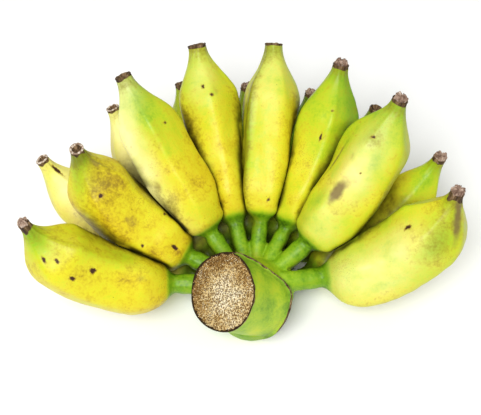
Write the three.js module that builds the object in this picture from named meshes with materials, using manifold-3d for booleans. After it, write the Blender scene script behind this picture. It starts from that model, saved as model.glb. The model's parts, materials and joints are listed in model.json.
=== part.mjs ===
// A hand of plump cooking bananas, cut from its bunch with a piece of the stalk, lying on its round back.
// Millimetres, +Z up, +X along the spread of the hand. The fan axis is a vertical line through the crown:
// every finger grows outwards from it, the back row low on the table and the front row in the grooves above.

import * as THREE from "three";
import { mergeVertices } from "three/addons/utils/BufferGeometryUtils.js";
import Module from "manifold-3d";

// ---- Driving dimensions, in millimetres and degrees ----

// Height on the fan axis from which each row's pedicels start.
const ROW_HEIGHT = { front: 42, back: 20 };

// Level of the table, which flattens what would sink below it.
const TABLE = 2.4;

// A pedicel starts this far from the fan axis; the finger snaps off the crown at `split` along it.
const PEDICEL = { start: 24, split: 15, radius: 6.3, bury: 14 };

// Lengths over which a finger swells from its pedicel and narrows to its neck, and the five-edged section.
const FINGER = {
  pedicel: 23,
  shoulder: 27,
  blunt: 0.62,
  taper: 38,
  droop: 0.14,
  neck: 4.4,
  ridge: 0.045,
  edges: 5,
};

// Sides and rings of a finger's loft; three sides to each of its five edges.
const LOFT = { sides: 15, rings: 21, steps: 44 };

// Clearances: between pieces that meet end to end, and between fingers pressed side by side.
const JOIN_GAP = 0.3;
const PRESS_GAP = 1.1;

// azimuth: heading from +Y towards +X. swing: how far the heading turns by the tip. elbow: sudden turn where
// the pedicel meets the body. pitch: climb at the pedicel. bend: how much steeper the tip climbs. roll: turn
// of the five edges. tip: what the flower left. pedicel and waist: the length and the radius of the pedicel,
// where they are not the usual ones.
const FINGERS = {
  front: [
    { azimuth: -88, swing: 26, elbow: -14, pitch: -6.5, bend: 80, length: 148, girth: 45, roll: 12,
      tip: "stub", pedicel: 31, waist: 6.8 },
    { azimuth: -64, swing: -4, pitch: 5, bend: 78, length: 140, girth: 43, roll: 30, tip: "scar" },
    { azimuth: -39, swing: 1, pitch: 28, bend: 24, length: 143, girth: 41, roll: 5, tip: "scar",
      waist: 5.8 },
    { azimuth: -14, swing: -2, pitch: 18, bend: 32, length: 147, girth: 40, roll: 20, tip: "scar",
      waist: 5.6 },
    { azimuth: 8, swing: -5, pitch: 28, bend: 10, length: 143, girth: 38, roll: 48, tip: "scar",
      waist: 5.6 },
    { azimuth: 30.5, swing: -12, pitch: 16, bend: 46, length: 142, girth: 41, roll: 34, tip: "stub",
      waist: 5.6 },
    { azimuth: 54, swing: -14, pitch: 22, bend: 48, length: 142, girth: 45, roll: 15, tip: "stub",
      waist: 6.8 },
    { azimuth: 82.5, swing: -50, elbow: 20, pitch: -7, bend: 90, length: 145, girth: 48, roll: 40,
      tip: "stub", pedicel: 27, waist: 7.2 },
  ],
  back: [
    { azimuth: -64, swing: 5, pitch: -5, bend: 63, length: 158, girth: 38, roll: 8, tip: "scar" },
    { azimuth: -41, swing: 2, pitch: 4, bend: 54, length: 148, girth: 38, roll: 22, tip: "scar" },
    { azimuth: -20.5, swing: 4, pitch: -8, bend: 66, length: 151, girth: 37, roll: 44, tip: "scar" },
    { azimuth: -2, swing: 2, pitch: -6, bend: 52, length: 141, girth: 37, roll: 10, tip: "stub" },
    { azimuth: 18, swing: -3, pitch: -7, bend: 59, length: 141, girth: 37, roll: 26, tip: "stub" },
    { azimuth: 39, swing: -5, pitch: -5, bend: 76, length: 148, girth: 38, roll: 4, tip: "scar" },
    { azimuth: 62, swing: -6, pitch: -6, bend: 74, length: 149, girth: 38, roll: 38, tip: "stub" },
  ],
};

// The piece of stalk: the centre of its cut face, the direction it faces, and its size.
const STALK = {
  face: new THREE.Vector3(-18, -13, 56),
  facing: new THREE.Vector3(-0.6, -0.35, 0.72).normalize(),
  length: 49,
  faceRadius: 25,
  rootRadius: 25,
  sides: 24,
};

// The swollen cushion that both rows of pedicels grow out of.
const CUSHION = {
  centre: new THREE.Vector3(0, -4, 26.5),
  halfSize: new THREE.Vector3(25.5, 27, 27),
  sides: 20,
};

// The withered flower left on some tips.
const REMNANT = { length: 4.5, flare: 1.02, sides: 10 };

// Colour, roughness and metalness of each kind of piece.
const FINISH = {
  yellowPeel: { color: 0xd9c93a, roughness: 0.45, metalness: 0 },
  greenPeel: { color: 0xb4bf3c, roughness: 0.45, metalness: 0 },
  crown: { color: 0x8fb03a, roughness: 0.5, metalness: 0 },
  remnant: { color: 0x6b4a2c, roughness: 0.85, metalness: 0 },
};

// ---- Lofts ----

const rad = THREE.MathUtils.degToRad;
const unit = (x) => THREE.MathUtils.clamp(x, 0, 1);
const swell = (x) => Math.sin((Math.PI / 2) * unit(x));

/** A closed body through rings of points, with a point at the middle of each end. */
function loft(rings) {
  const sides = rings[0].length;
  const middle = (ring) => ring.reduce((sum, p) => sum.add(p), new THREE.Vector3()).divideScalar(sides);
  const points = [...rings.flat(), middle(rings[0]), middle(rings.at(-1))];
  const [startPole, endPole] = [points.length - 2, points.length - 1];
  const lastRing = (rings.length - 1) * sides;
  const faces = [];
  for (let j = 0; j < sides; j++) {
    const next = (j + 1) % sides;
    faces.push(startPole, next, j);
    faces.push(endPole, lastRing + j, lastRing + next);
    for (let k = 0; k < rings.length - 1; k++) {
      const [low, high] = [k * sides, (k + 1) * sides];
      faces.push(low + j, low + next, high + next, low + j, high + next, high + j);
    }
  }
  const geometry = new THREE.BufferGeometry();
  geometry.setAttribute("position", new THREE.Float32BufferAttribute(points.flatMap((p) => p.toArray()), 3));
  geometry.setIndex(faces);
  return geometry;
}

/** A ring of points round a centre, in the plane of `across` and `up`, at the radius given for each angle. */
function ring(centre, across, up, sides, radiusAt) {
  return Array.from({ length: sides }, (_, j) => {
    const angle = (2 * Math.PI * j) / sides;
    const radius = radiusAt(angle);
    return centre
      .clone()
      .addScaledVector(across, radius * Math.cos(angle))
      .addScaledVector(up, radius * Math.sin(angle));
  });
}

/** Lifts the points that would sink into the table, which flattens the skin where it rests. */
function restOnTable(points) {
  points.forEach((p) => (p.z = Math.max(p.z, TABLE)));
  return points;
}

// ---- Fingers ----

/** Direction of growth at a share `u` of the finger's length. */
function growth(finger, u) {
  const heading = rad(finger.azimuth + finger.elbow * swell((u - 0.12) / 0.16) + finger.swing * u);
  const climb = rad(finger.pitch + finger.bend * unit((u - 0.08) / 0.92));
  const level = Math.cos(climb);
  return new THREE.Vector3(level * Math.sin(heading), level * Math.cos(heading), Math.sin(climb));
}

/** The two directions that span the section square to `along`: level, and the one above it. */
function sectionAxes(along) {
  const across = new THREE.Vector3(-along.y, along.x, 0).normalize();
  return [across, new THREE.Vector3().crossVectors(along, across)];
}

/** Points along the finger's centre line, from the start of its pedicel to its tip. */
function centreLine(finger) {
  const azimuth = rad(finger.azimuth);
  const point = new THREE.Vector3(Math.sin(azimuth), Math.cos(azimuth), 0).multiplyScalar(PEDICEL.start);
  point.z = ROW_HEIGHT[finger.row];
  const line = [point.clone()];
  for (let k = 0; k < LOFT.steps; k++) {
    point.addScaledVector(growth(finger, (k + 0.5) / LOFT.steps), finger.length / LOFT.steps);
    line.push(point.clone());
  }
  return line;
}

/** Where the centre line is at a distance along it; before its start it runs straight back into the crown. */
function pointAlong(finger, distance) {
  const share = (distance / finger.length) * LOFT.steps;
  const k = THREE.MathUtils.clamp(Math.floor(share), 0, LOFT.steps - 1);
  return finger.line[k].clone().lerp(finger.line[k + 1], share - k);
}

/** Mean radius of the section at a distance along the finger. */
function girthAt(finger, distance) {
  const swollen = swell((distance - finger.pedicel) / FINGER.shoulder) ** FINGER.blunt;
  const left = unit((finger.length - distance) / FINGER.taper);
  const narrowed = left * left * (3 - 2 * left);
  const slimmed = 1 - FINGER.droop * unit((2 * distance) / finger.length - 1) ** 2;
  const body = finger.waist + ((finger.girth / 2) * slimmed - finger.waist) * swollen;
  return FINGER.neck + (body - FINGER.neck) * narrowed;
}

/** Pulls a skin point in towards the centre line until it keeps clear of every neighbouring finger. */
function pressClear(finger, centre, point, others) {
  const reach = (owner, p) => Math.min(...owner.line.map((q, k) => q.distanceTo(p) - owner.radii[k]));
  const clear = (p) => others.every((other) => reach(finger, p) <= reach(other, p) - PRESS_GAP);
  if (clear(point)) return point;
  let [inside, outside] = [0.2, 1];
  for (let turn = 0; turn < 12; turn++) {
    const middle = (inside + outside) / 2;
    if (clear(centre.clone().lerp(point, middle))) inside = middle;
    else outside = middle;
  }
  return centre.clone().lerp(point, inside);
}

/** One section of the finger's skin, pressed flat where it meets its neighbours. */
function skinRing(finger, distance, others) {
  const centre = pointAlong(finger, distance);
  const [across, up] = sectionAxes(growth(finger, distance / finger.length));
  const mean = girthAt(finger, distance);
  const plump = unit((mean - finger.waist) / 8);
  const radiusAt = (angle) => {
    const edge = Math.cos(FINGER.edges * angle);
    return mean * (1 + FINGER.ridge * plump * edge);
  };
  const turned = rad(finger.roll);
  const acrossTurned = across.clone().multiplyScalar(Math.cos(turned)).addScaledVector(up, Math.sin(turned));
  const upTurned = up.clone().multiplyScalar(Math.cos(turned)).addScaledVector(across, -Math.sin(turned));
  const round = ring(centre, acrossTurned, upTurned, LOFT.sides, radiusAt);
  return restOnTable(round.map((p) => pressClear(finger, centre, p, others)));
}

/** The finger from where it leaves the crown to its tip, with its rings closer together near both ends. */
function fingerGeometry(finger, others) {
  const run = finger.length - PEDICEL.split;
  const rings = [];
  for (let k = 0; k < LOFT.rings; k++) {
    const share = k / (LOFT.rings - 1);
    const crowded = (1 - Math.cos(Math.PI * share)) / 2;
    rings.push(skinRing(finger, PEDICEL.split + (run * (share + crowded)) / 2, others));
  }
  return loft(rings);
}

/** The first stretch of the pedicel, which stays on the crown. */
function pedicelStub(finger, others) {
  const end = PEDICEL.split - JOIN_GAP;
  const stations = [-PEDICEL.bury, -PEDICEL.bury / 2, 0, end / 2, end];
  return loft(stations.map((distance) => skinRing(finger, distance, others)));
}

/** The withered flower beyond the tip: a short woody plug with a ragged rim. */
function remnantGeometry(finger) {
  const along = growth(finger, 1);
  const [across, up] = sectionAxes(along);
  const tip = finger.line.at(-1);
  const section = (share, scale) =>
    ring(tip.clone().addScaledVector(along, JOIN_GAP + REMNANT.length * share), across, up, REMNANT.sides,
      (angle) => FINGER.neck * scale * (1 + 0.1 * share * Math.sin(3 * angle + finger.roll)));
  return loft([section(0, 0.9), section(0.45, REMNANT.flare), section(0.8, 0.95), section(1, 0.55)]);
}

// ---- Crown ----

/** The cut piece of stalk, widening from its cut face to its root. */
function stalkGeometry() {
  const [across, up] = sectionAxes(STALK.facing);
  const section = (share, scale) => {
    const radius = THREE.MathUtils.lerp(STALK.faceRadius, STALK.rootRadius, share) * scale;
    const centre = STALK.face.clone().addScaledVector(STALK.facing, -STALK.length * share);
    return restOnTable(ring(centre, across, up, STALK.sides, () => radius));
  };
  return loft([section(1, 0.8), section(0.9, 0.98), section(0.6, 1), section(0.3, 1), section(0, 1)]);
}

/** The cushion: an egg-shaped swelling round the fan axis. */
function cushionGeometry() {
  const rings = [];
  for (let k = 1; k < CUSHION.sides / 2; k++) {
    const latitude = Math.PI * (k / (CUSHION.sides / 2) - 0.5);
    const centre = CUSHION.centre.clone();
    centre.z += CUSHION.halfSize.z * Math.sin(latitude);
    const across = new THREE.Vector3(CUSHION.halfSize.x, 0, 0);
    const up = new THREE.Vector3(0, CUSHION.halfSize.y, 0);
    rings.push(restOnTable(ring(centre, across, up, CUSHION.sides, () => Math.cos(latitude))));
  }
  return loft(rings);
}

const wasm = await Module();
wasm.setup();

/** A manifold-3d solid of a closed geometry. */
function solidOf(geometry) {
  const merged = mergeVertices(geometry, 1e-4);
  const mesh = new wasm.Mesh({
    numProp: 3,
    vertProperties: new Float32Array(merged.attributes.position.array),
    triVerts: new Uint32Array(merged.index.array),
  });
  return new wasm.Manifold(mesh);
}

/** Joins closed geometries into one. */
function join(geometries) {
  const solid = geometries.map(solidOf).reduce((sum, next) => sum.add(next));
  const mesh = solid.getMesh();
  const geometry = new THREE.BufferGeometry();
  geometry.setAttribute("position", new THREE.BufferAttribute(mesh.vertProperties, 3));
  geometry.setIndex(new THREE.BufferAttribute(mesh.triVerts, 1));
  return geometry;
}

// ---- The hand ----

/** Lists the fingers of both rows, each with its name, its centre line and the radii along it. */
function growFingers() {
  const fingers = [];
  for (const row of ["front", "back"]) {
    FINGERS[row].forEach((entry, k) => {
      const usual = { pedicel: FINGER.pedicel, waist: PEDICEL.radius, elbow: 0 };
      const finger = { ...usual, ...entry, row, name: `${row}_${k + 1}` };
      finger.line = centreLine(finger);
      finger.radii = finger.line.map((_, step) => girthAt(finger, (finger.length * step) / LOFT.steps));
      fingers.push(finger);
    });
  }
  return fingers;
}

function piece(name, geometry, finish) {
  geometry.computeVertexNormals();
  const mesh = new THREE.Mesh(geometry, new THREE.MeshStandardMaterial(FINISH[finish]));
  mesh.name = name;
  return mesh;
}

const fingers = growFingers();
const hand = new THREE.Group();
const stubs = [];
for (const finger of fingers) {
  const others = fingers.filter((other) => other !== finger);
  const finish = finger.azimuth < 15 ? "yellowPeel" : "greenPeel";
  hand.add(piece(`finger_${finger.name}`, fingerGeometry(finger, others), finish));
  if (finger.tip === "stub") {
    hand.add(piece(`flower_remnant_${finger.name}`, remnantGeometry(finger), "remnant"));
  }
  stubs.push(pedicelStub(finger, others));
}
hand.add(piece("crown", join([stalkGeometry(), cushionGeometry(), ...stubs]), "crown"));

// The origin is put at the middle of the base of the whole hand's box.
const box = new THREE.Box3().setFromObject(hand, true);
const middle = box.getCenter(new THREE.Vector3());
hand.position.set(-middle.x, -middle.y, -box.min.z);

export default hand;
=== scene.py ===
"""A hand of plump cooking bananas, cut from its bunch with a piece of the stalk, lying on its round back.

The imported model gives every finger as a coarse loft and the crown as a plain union. This script reads the
lofts back as rings of skin, draws them out into smooth, edged, blemished fruit, melts the crown into webs and
fillets, and dresses everything in procedural peel, fibre and cork. All lengths are in metres.
"""

import json
import logging
import math
from dataclasses import dataclass, field
from enum import Enum

import bmesh
import bpy
import numpy as np
from mathutils import Matrix, Vector
from mathutils.bvhtree import BVHTree

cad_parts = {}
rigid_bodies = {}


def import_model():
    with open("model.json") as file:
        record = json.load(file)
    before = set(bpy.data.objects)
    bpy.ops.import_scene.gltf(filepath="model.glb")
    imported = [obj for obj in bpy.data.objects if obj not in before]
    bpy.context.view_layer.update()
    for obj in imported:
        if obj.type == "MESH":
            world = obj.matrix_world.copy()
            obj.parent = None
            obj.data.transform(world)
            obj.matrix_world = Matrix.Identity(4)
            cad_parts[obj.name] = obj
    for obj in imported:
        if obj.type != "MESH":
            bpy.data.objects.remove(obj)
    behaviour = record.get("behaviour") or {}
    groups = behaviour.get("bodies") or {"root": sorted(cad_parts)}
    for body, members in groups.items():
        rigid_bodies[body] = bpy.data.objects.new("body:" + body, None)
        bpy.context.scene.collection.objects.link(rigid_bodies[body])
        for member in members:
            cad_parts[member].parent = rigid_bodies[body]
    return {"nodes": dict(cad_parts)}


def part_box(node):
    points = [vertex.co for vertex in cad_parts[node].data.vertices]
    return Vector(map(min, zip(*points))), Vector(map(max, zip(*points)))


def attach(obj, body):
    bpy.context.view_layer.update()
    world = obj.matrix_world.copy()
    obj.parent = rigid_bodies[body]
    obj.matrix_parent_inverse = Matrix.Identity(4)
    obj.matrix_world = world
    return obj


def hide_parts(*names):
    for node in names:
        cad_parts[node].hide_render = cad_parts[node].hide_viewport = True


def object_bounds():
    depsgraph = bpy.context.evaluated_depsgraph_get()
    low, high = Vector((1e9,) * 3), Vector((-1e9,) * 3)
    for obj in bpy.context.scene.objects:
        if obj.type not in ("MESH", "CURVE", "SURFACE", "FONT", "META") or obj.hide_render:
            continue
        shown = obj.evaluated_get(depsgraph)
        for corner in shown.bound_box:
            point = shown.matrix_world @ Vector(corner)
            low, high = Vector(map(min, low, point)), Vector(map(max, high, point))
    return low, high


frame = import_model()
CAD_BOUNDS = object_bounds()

log = logging.getLogger("hand_of_bananas")

Socket = bpy.types.NodeSocket
Number = Socket | float

MM = 0.001
ROOT_BODY = "root"

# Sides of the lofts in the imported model, and how many of them make one edge of the five-edged finger.
FINGER_SIDES = 15
SIDES_PER_EDGE = 3
REMNANT_SIDES = 10

# How ripe the skin is where the pedicels meet the crown; both sides of that join share it.
PEDICEL_RIPENESS = 0.18


# ---------------------------------------------------------------------------------------------------------
# Small tools
# ---------------------------------------------------------------------------------------------------------


def linear(hex_colour: str, alpha: float = 1.0) -> tuple[float, float, float, float]:
    """Turns an sRGB hex colour into linear RGBA.

    Args:
        hex_colour: Six hex digits after a #.
        alpha: Opacity to carry along.

    Returns:
        Linear red, green, blue and the alpha.
    """
    parts = [int(hex_colour[k : k + 2], 16) / 255 for k in (1, 3, 5)]
    red, green, blue = (p / 12.92 if p <= 0.04045 else ((p + 0.055) / 1.055) ** 2.4 for p in parts)
    return red, green, blue, alpha


def smoothstep(low: float, high: float, value: np.ndarray) -> np.ndarray:
    """Eases from 0 at `low` to 1 at `high`; the ends may be given either way round."""
    share = np.clip((value - low) / (high - low), 0.0, 1.0)
    return share * share * (3 - 2 * share)


def ripple(points: np.ndarray, size: float, seed: int) -> np.ndarray:
    """Smooth repeatable unevenness in space, made of a few crossing waves.

    Args:
        points: Positions, with x, y and z last.
        size: Typical distance between a swelling and the next hollow, in the unit of the points.
        seed: Which of the many patterns to use.

    Returns:
        Values mostly between -1 and 1.
    """
    waves = 14
    rng = np.random.default_rng(seed)
    directions = rng.normal(size=(waves, 3))
    directions /= np.linalg.norm(directions, axis=1, keepdims=True)
    pitch = math.pi / size * rng.uniform(0.7, 1.4, size=(waves, 1))
    phase = rng.uniform(0, 2 * math.pi, size=waves)
    return np.cos(points @ (directions * pitch).T + phase).sum(axis=-1) / math.sqrt(waves)


def spline_weights(knots: np.ndarray, samples: np.ndarray, period: float | None = None) -> np.ndarray:
    """Weights that turn values at the knots of a cubic spline into values at the samples.

    Args:
        knots: Rising positions of the known values.
        samples: Positions to read the spline at.
        period: Length after which the spline repeats; None for one with free ends.

    Returns:
        A matrix with a row for each sample and a column for each knot.
    """
    count = len(knots)
    values = np.eye(count)
    if period is not None:
        turns = [knots + shift * period for shift in (-1, 0, 1)]
        knots, values = np.concatenate(turns), np.tile(values, (3, 1))
    gaps = np.diff(knots)
    size = len(knots)
    system, right = np.eye(size), np.zeros((size, count))
    for k in range(1, size - 1):
        system[k, k - 1 : k + 2] = gaps[k - 1], 2 * (gaps[k - 1] + gaps[k]), gaps[k]
        rise = (values[k + 1] - values[k]) / gaps[k] - (values[k] - values[k - 1]) / gaps[k - 1]
        right[k] = 6 * rise
    bend = np.linalg.solve(system, right)
    span = np.clip(np.searchsorted(knots, samples) - 1, 0, size - 2)
    gap = gaps[span][:, None]
    after = (samples - knots[span])[:, None] / gap
    before = 1 - after
    curve = (before**3 - before) * bend[span] + (after**3 - after) * bend[span + 1]
    return before * values[span] + after * values[span + 1] + curve * gap**2 / 6


def merged_copy(node: bpy.types.Object) -> bmesh.types.BMesh:
    """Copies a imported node's loose triangles into one welded mesh."""
    welded = bmesh.new()
    welded.from_mesh(node.data)
    bmesh.ops.remove_doubles(welded, verts=welded.verts, dist=0.02 * MM)
    welded.verts.ensure_lookup_table()
    welded.verts.index_update()
    return welded


def add_object(name: str, mesh: bpy.types.Mesh) -> bpy.types.Object:
    """Puts a mesh in the scene as an object at the origin, smooth shaded."""
    mesh.polygons.foreach_set("use_smooth", [True] * len(mesh.polygons))
    piece = bpy.data.objects.new(name, mesh)
    bpy.context.scene.collection.objects.link(piece)
    return piece


def paint(mesh: bpy.types.Mesh, name: str, values: np.ndarray) -> None:
    """Stores one number, or one vector, for each vertex of a mesh as a named attribute."""
    kind, key = ("FLOAT", "value") if values.ndim == 1 else ("FLOAT_VECTOR", "vector")
    mesh.attributes.new(name, kind, "POINT").data.foreach_set(key, values.astype(np.float32).ravel())


def recover_rings(node: bpy.types.Object, sides: int, start_near: Vector) -> np.ndarray:
    """Reads a lofted node back as its rings of skin points.

    A loft has one point in the middle of each end that meets all its sides. Steps away from it along the
    edges give one ring after the other.

    Args:
        node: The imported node.
        sides: Points to a ring.
        start_near: The end nearer to this place comes first.

    Returns:
        Positions as rings by sides by 3, wound the same way all along.
    """
    welded = merged_copy(node)
    poles = sorted(welded.verts, key=lambda v: -len(v.link_edges))[:2]
    start, end = sorted(poles, key=lambda v: (v.co - start_near).length)
    axis = (end.co - start.co).normalized()
    seen, rings, layer = {start}, [], [start]
    while True:
        nearby = {e.other_vert(v) for v in layer for e in v.link_edges} - seen
        if len(nearby) != sides:
            break
        seen |= nearby
        first = next(iter(sorted(nearby, key=lambda v: v.index)))
        if rings:
            known = rings[-1][0]
            touching = [e.other_vert(known) for e in known.link_edges if e.other_vert(known) in nearby]
            first = min(touching, key=lambda v: (v.co - known.co).length)
        walk = [first]
        while len(walk) < sides:
            beside = [e.other_vert(walk[-1]) for e in walk[-1].link_edges]
            beside = [v for v in beside if v in nearby and v not in walk]
            walk.append(min(beside, key=lambda v: v.index) if len(walk) > 1 else beside[0])
        middle = sum((v.co for v in walk), Vector()) / sides
        turn = sum(((a.co - middle).cross(b.co - middle) for a, b in zip(walk, walk[1:])), Vector())
        along = axis if not rings else middle - sum((v.co for v in rings[-1]), Vector()) / sides
        if turn.dot(along) < 0:
            walk = [walk[0]] + walk[:0:-1]
        rings.append(walk)
        layer = list(nearby)
    points = np.array([[v.co[:] for v in ring] for ring in rings])
    welded.free()
    return points


class Nooks:
    """Tells how shut in each place on the hand is: the share of its open side that other fruit blocks; it
    sets the painted shade of the nooks.
    """

    RAYS = 24
    REACH = 28 * MM
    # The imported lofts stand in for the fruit, so a look around starts this far off the skin.
    STAND_OFF = 1.3 * MM

    def __init__(self) -> None:
        """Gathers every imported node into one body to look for."""
        gathered = bmesh.new()
        for node in frame["nodes"].values():
            gathered.from_mesh(node.data)
        self.tree = BVHTree.FromBMesh(gathered)
        gathered.free()
        turn = math.pi * (3 - math.sqrt(5)) * np.arange(self.RAYS)
        wide = np.sqrt((np.arange(self.RAYS) + 0.5) / self.RAYS)
        self.rays = np.stack([wide * np.cos(turn), wide * np.sin(turn), np.sqrt(1 - wide**2)], axis=1)

    def shut_in(self, points: np.ndarray, normals: np.ndarray) -> np.ndarray:
        """Measures places on the skin.

        Args:
            points: Where they are, as count by 3.
            normals: Which way the skin faces there.

        Returns:
            For each, 0 in the open up to 1 where nothing but fruit is in sight.
        """
        first = np.cross(normals, (0.37, 0.61, 0.7))
        first /= np.linalg.norm(first, axis=1, keepdims=True)
        second = np.cross(normals, first)
        spokes = np.einsum("rk,kpx->prx", self.rays, np.stack([first, second, normals]))
        starts = points + normals * self.STAND_OFF
        cast, reach = self.tree.ray_cast, self.REACH
        blocked = [sum(cast(start, ray, reach)[0] is not None for ray in fan)
                   for start, fan in zip(starts.tolist(), spokes.tolist())]
        return np.array(blocked) / self.RAYS


def dense_rows(rings: np.ndarray, share: np.ndarray, columns: np.ndarray) -> np.ndarray:
    """Draws the coarse rings of a loft out into smooth dense rows.

    Args:
        rings: Positions as rings by sides by 3.
        share: Share of the length at each new row.
        columns: Where each new column falls, counted in sides of the rings.

    Returns:
        Positions as rows by columns by 3.
    """
    steps = np.linalg.norm(np.diff(rings.mean(axis=1), axis=0), axis=1)
    reach = np.concatenate([[0], np.cumsum(steps)])
    sides = rings.shape[1]
    lengthwise = spline_weights(reach / reach[-1], share)
    crosswise = spline_weights(np.arange(sides, dtype=float), columns, sides)
    return np.einsum("ik,jl,klx->ijx", lengthwise, crosswise, rings)


def grid_mesh(name: str, grid: np.ndarray) -> bpy.types.Mesh:
    """Makes a closed mesh from rings of points, with a point in the middle of each end.

    Args:
        name: Name of the mesh.
        grid: Positions as rings by sides by 3.

    Returns:
        The mesh; its vertices are the grid's in order, then the first end's and the last end's middle.
    """
    rings, sides = grid.shape[:2]
    index = np.arange(rings * sides).reshape(rings, sides)
    beside = np.roll(index, -1, axis=1)
    quads = np.stack([index[:-1], beside[:-1], beside[1:], index[1:]], axis=-1).reshape(-1, 4)
    first, last = rings * sides, rings * sides + 1
    start = [(first, b, a) for a, b in zip(index[0], beside[0])]
    end = [(last, a, b) for a, b in zip(index[-1], beside[-1])]
    points = np.concatenate([grid.reshape(-1, 3), grid[[0, -1]].mean(axis=1)])
    mesh = bpy.data.meshes.new(name)
    mesh.from_pydata(points.tolist(), [], quads.tolist() + start + end)
    mesh.update()
    return mesh


def with_ends(values: np.ndarray) -> np.ndarray:
    """Flattens values kept on a grid and adds those of the middle of its two ends."""
    return np.concatenate([values.reshape(-1, *values.shape[2:]), values[[0, -1]].mean(axis=1)])


def add_node(tree: bpy.types.NodeTree, kind: str, inputs: dict | None = None, **settings) -> bpy.types.Node:
    """Adds a node with its settings and what its inputs hold.

    Args:
        tree: The tree to add to.
        kind: The node's type name.
        inputs: Input name or number to a value, or to an output socket to link.
        **settings: The node's own properties.

    Returns:
        The node.
    """
    node = tree.nodes.new(kind)
    for key, value in settings.items():
        setattr(node, key, value)
    for key, value in (inputs or {}).items():
        socket = node.inputs[key]
        if isinstance(value, Socket):
            tree.links.new(value, socket)
        else:
            socket.default_value = value
    return node


# ---------------------------------------------------------------------------------------------------------
# Finishes
# ---------------------------------------------------------------------------------------------------------


class Shader:
    """A material being built: short ways to read attributes, mix colours and finish the surface."""

    def __init__(self, name: str) -> None:
        """Starts an empty material.

        Args:
            name: What the material is.
        """
        self.material = bpy.data.materials.new(name)
        self.material.use_nodes = True
        self.tree = self.material.node_tree
        self.tree.nodes.clear()

    def add(self, kind: str, inputs: dict | None = None, **settings) -> bpy.types.Node:
        """Adds a node to this material's tree."""
        return add_node(self.tree, kind, inputs, **settings)

    def attribute(self, name: str) -> Socket:
        """A number painted on the mesh."""
        return self.add("ShaderNodeAttribute", attribute_name=name).outputs["Fac"]

    def place(self, name: str) -> Socket:
        """A vector painted on the mesh."""
        return self.add("ShaderNodeAttribute", attribute_name=name).outputs["Vector"]

    def position(self) -> Socket:
        """Object coordinates, in metres."""
        return self.add("ShaderNodeTexCoord").outputs["Object"]

    def noise(self, vector: Socket, size: float, detail: float = 3.0) -> Socket:
        """Noise between 0 and 1 whose swellings are about `size` across, in the unit of the vector."""
        inputs = {"Vector": vector, "Scale": 0.5 / size, "Detail": detail, "Roughness": 0.55}
        return self.add("ShaderNodeTexNoise", inputs).outputs["Fac"]

    def math(self, operation: str, *values: Number) -> Socket:
        """One step of arithmetic."""
        return self.add("ShaderNodeMath", dict(enumerate(values)), operation=operation).outputs[0]

    def plus(self, value: Number, factor: Number, base: Number) -> Socket:
        """The base with so many times the value added."""
        return self.math("MULTIPLY_ADD", value, factor, base)

    def times(self, value: Number, factor: Number) -> Socket:
        """The value so many times over."""
        return self.math("MULTIPLY", value, factor)

    def ease(self, value: Socket, low: float, high: float) -> Socket:
        """A smooth step from 0 at `low` to 1 at `high`."""
        inputs = {"Value": value, "From Min": low, "From Max": high}
        return self.add("ShaderNodeMapRange", inputs, interpolation_type="SMOOTHSTEP").outputs["Result"]

    def mix(self, share, first, second) -> Socket:
        """A mix of two colours, each a hex colour or a socket."""
        first, second = (linear(c) if isinstance(c, str) else c for c in (first, second))
        return self.add("ShaderNodeMix", {0: share, 6: first, 7: second}, data_type="RGBA").outputs[2]

    def ramp(self, value: Socket, stops: dict[float, str]) -> Socket:
        """Colours along a value: position to hex colour."""
        node = self.add("ShaderNodeValToRGB", {"Fac": value})
        elements = node.color_ramp.elements
        while len(elements) < len(stops):
            elements.new(0.5)
        for element, (position, colour) in zip(elements, sorted(stops.items())):
            element.position, element.color = position, linear(colour)
        return node.outputs["Color"]

    def finish(self, colour: Socket, roughness: Socket,
               height: Socket, depth: float, strength: float,
               **constants: float) -> bpy.types.Material:
        """Closes the material with its surface and bump.

        Args:
            colour: Base colour socket.
            roughness: Roughness socket.
            height: Height socket between 0 and 1 for the bump.
            depth: What a height of 1 stands for, in metres.
            strength: Share of the bump to show.
            **constants: Values set on the surface's own sockets, with _ for a space.

        Returns:
            The finished material.
        """
        bump = self.add("ShaderNodeBump", {"Height": height, "Distance": depth, "Strength": strength})
        inputs = {"Base Color": colour, "Roughness": roughness, "Normal": bump.outputs["Normal"]}
        inputs |= {key.replace("_", " "): value for key, value in constants.items()}
        surface = self.add("ShaderNodeBsdfPrincipled", inputs)
        self.add("ShaderNodeOutputMaterial", {"Surface": surface.outputs["BSDF"]})
        return self.material


@dataclass(frozen=True)
class Unevenness:
    """The noises of one peel, from broad to fine, and the fibres that run along it."""

    cloud: Socket
    mottle: Socket
    grit: Socket
    fibres: Socket


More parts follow.
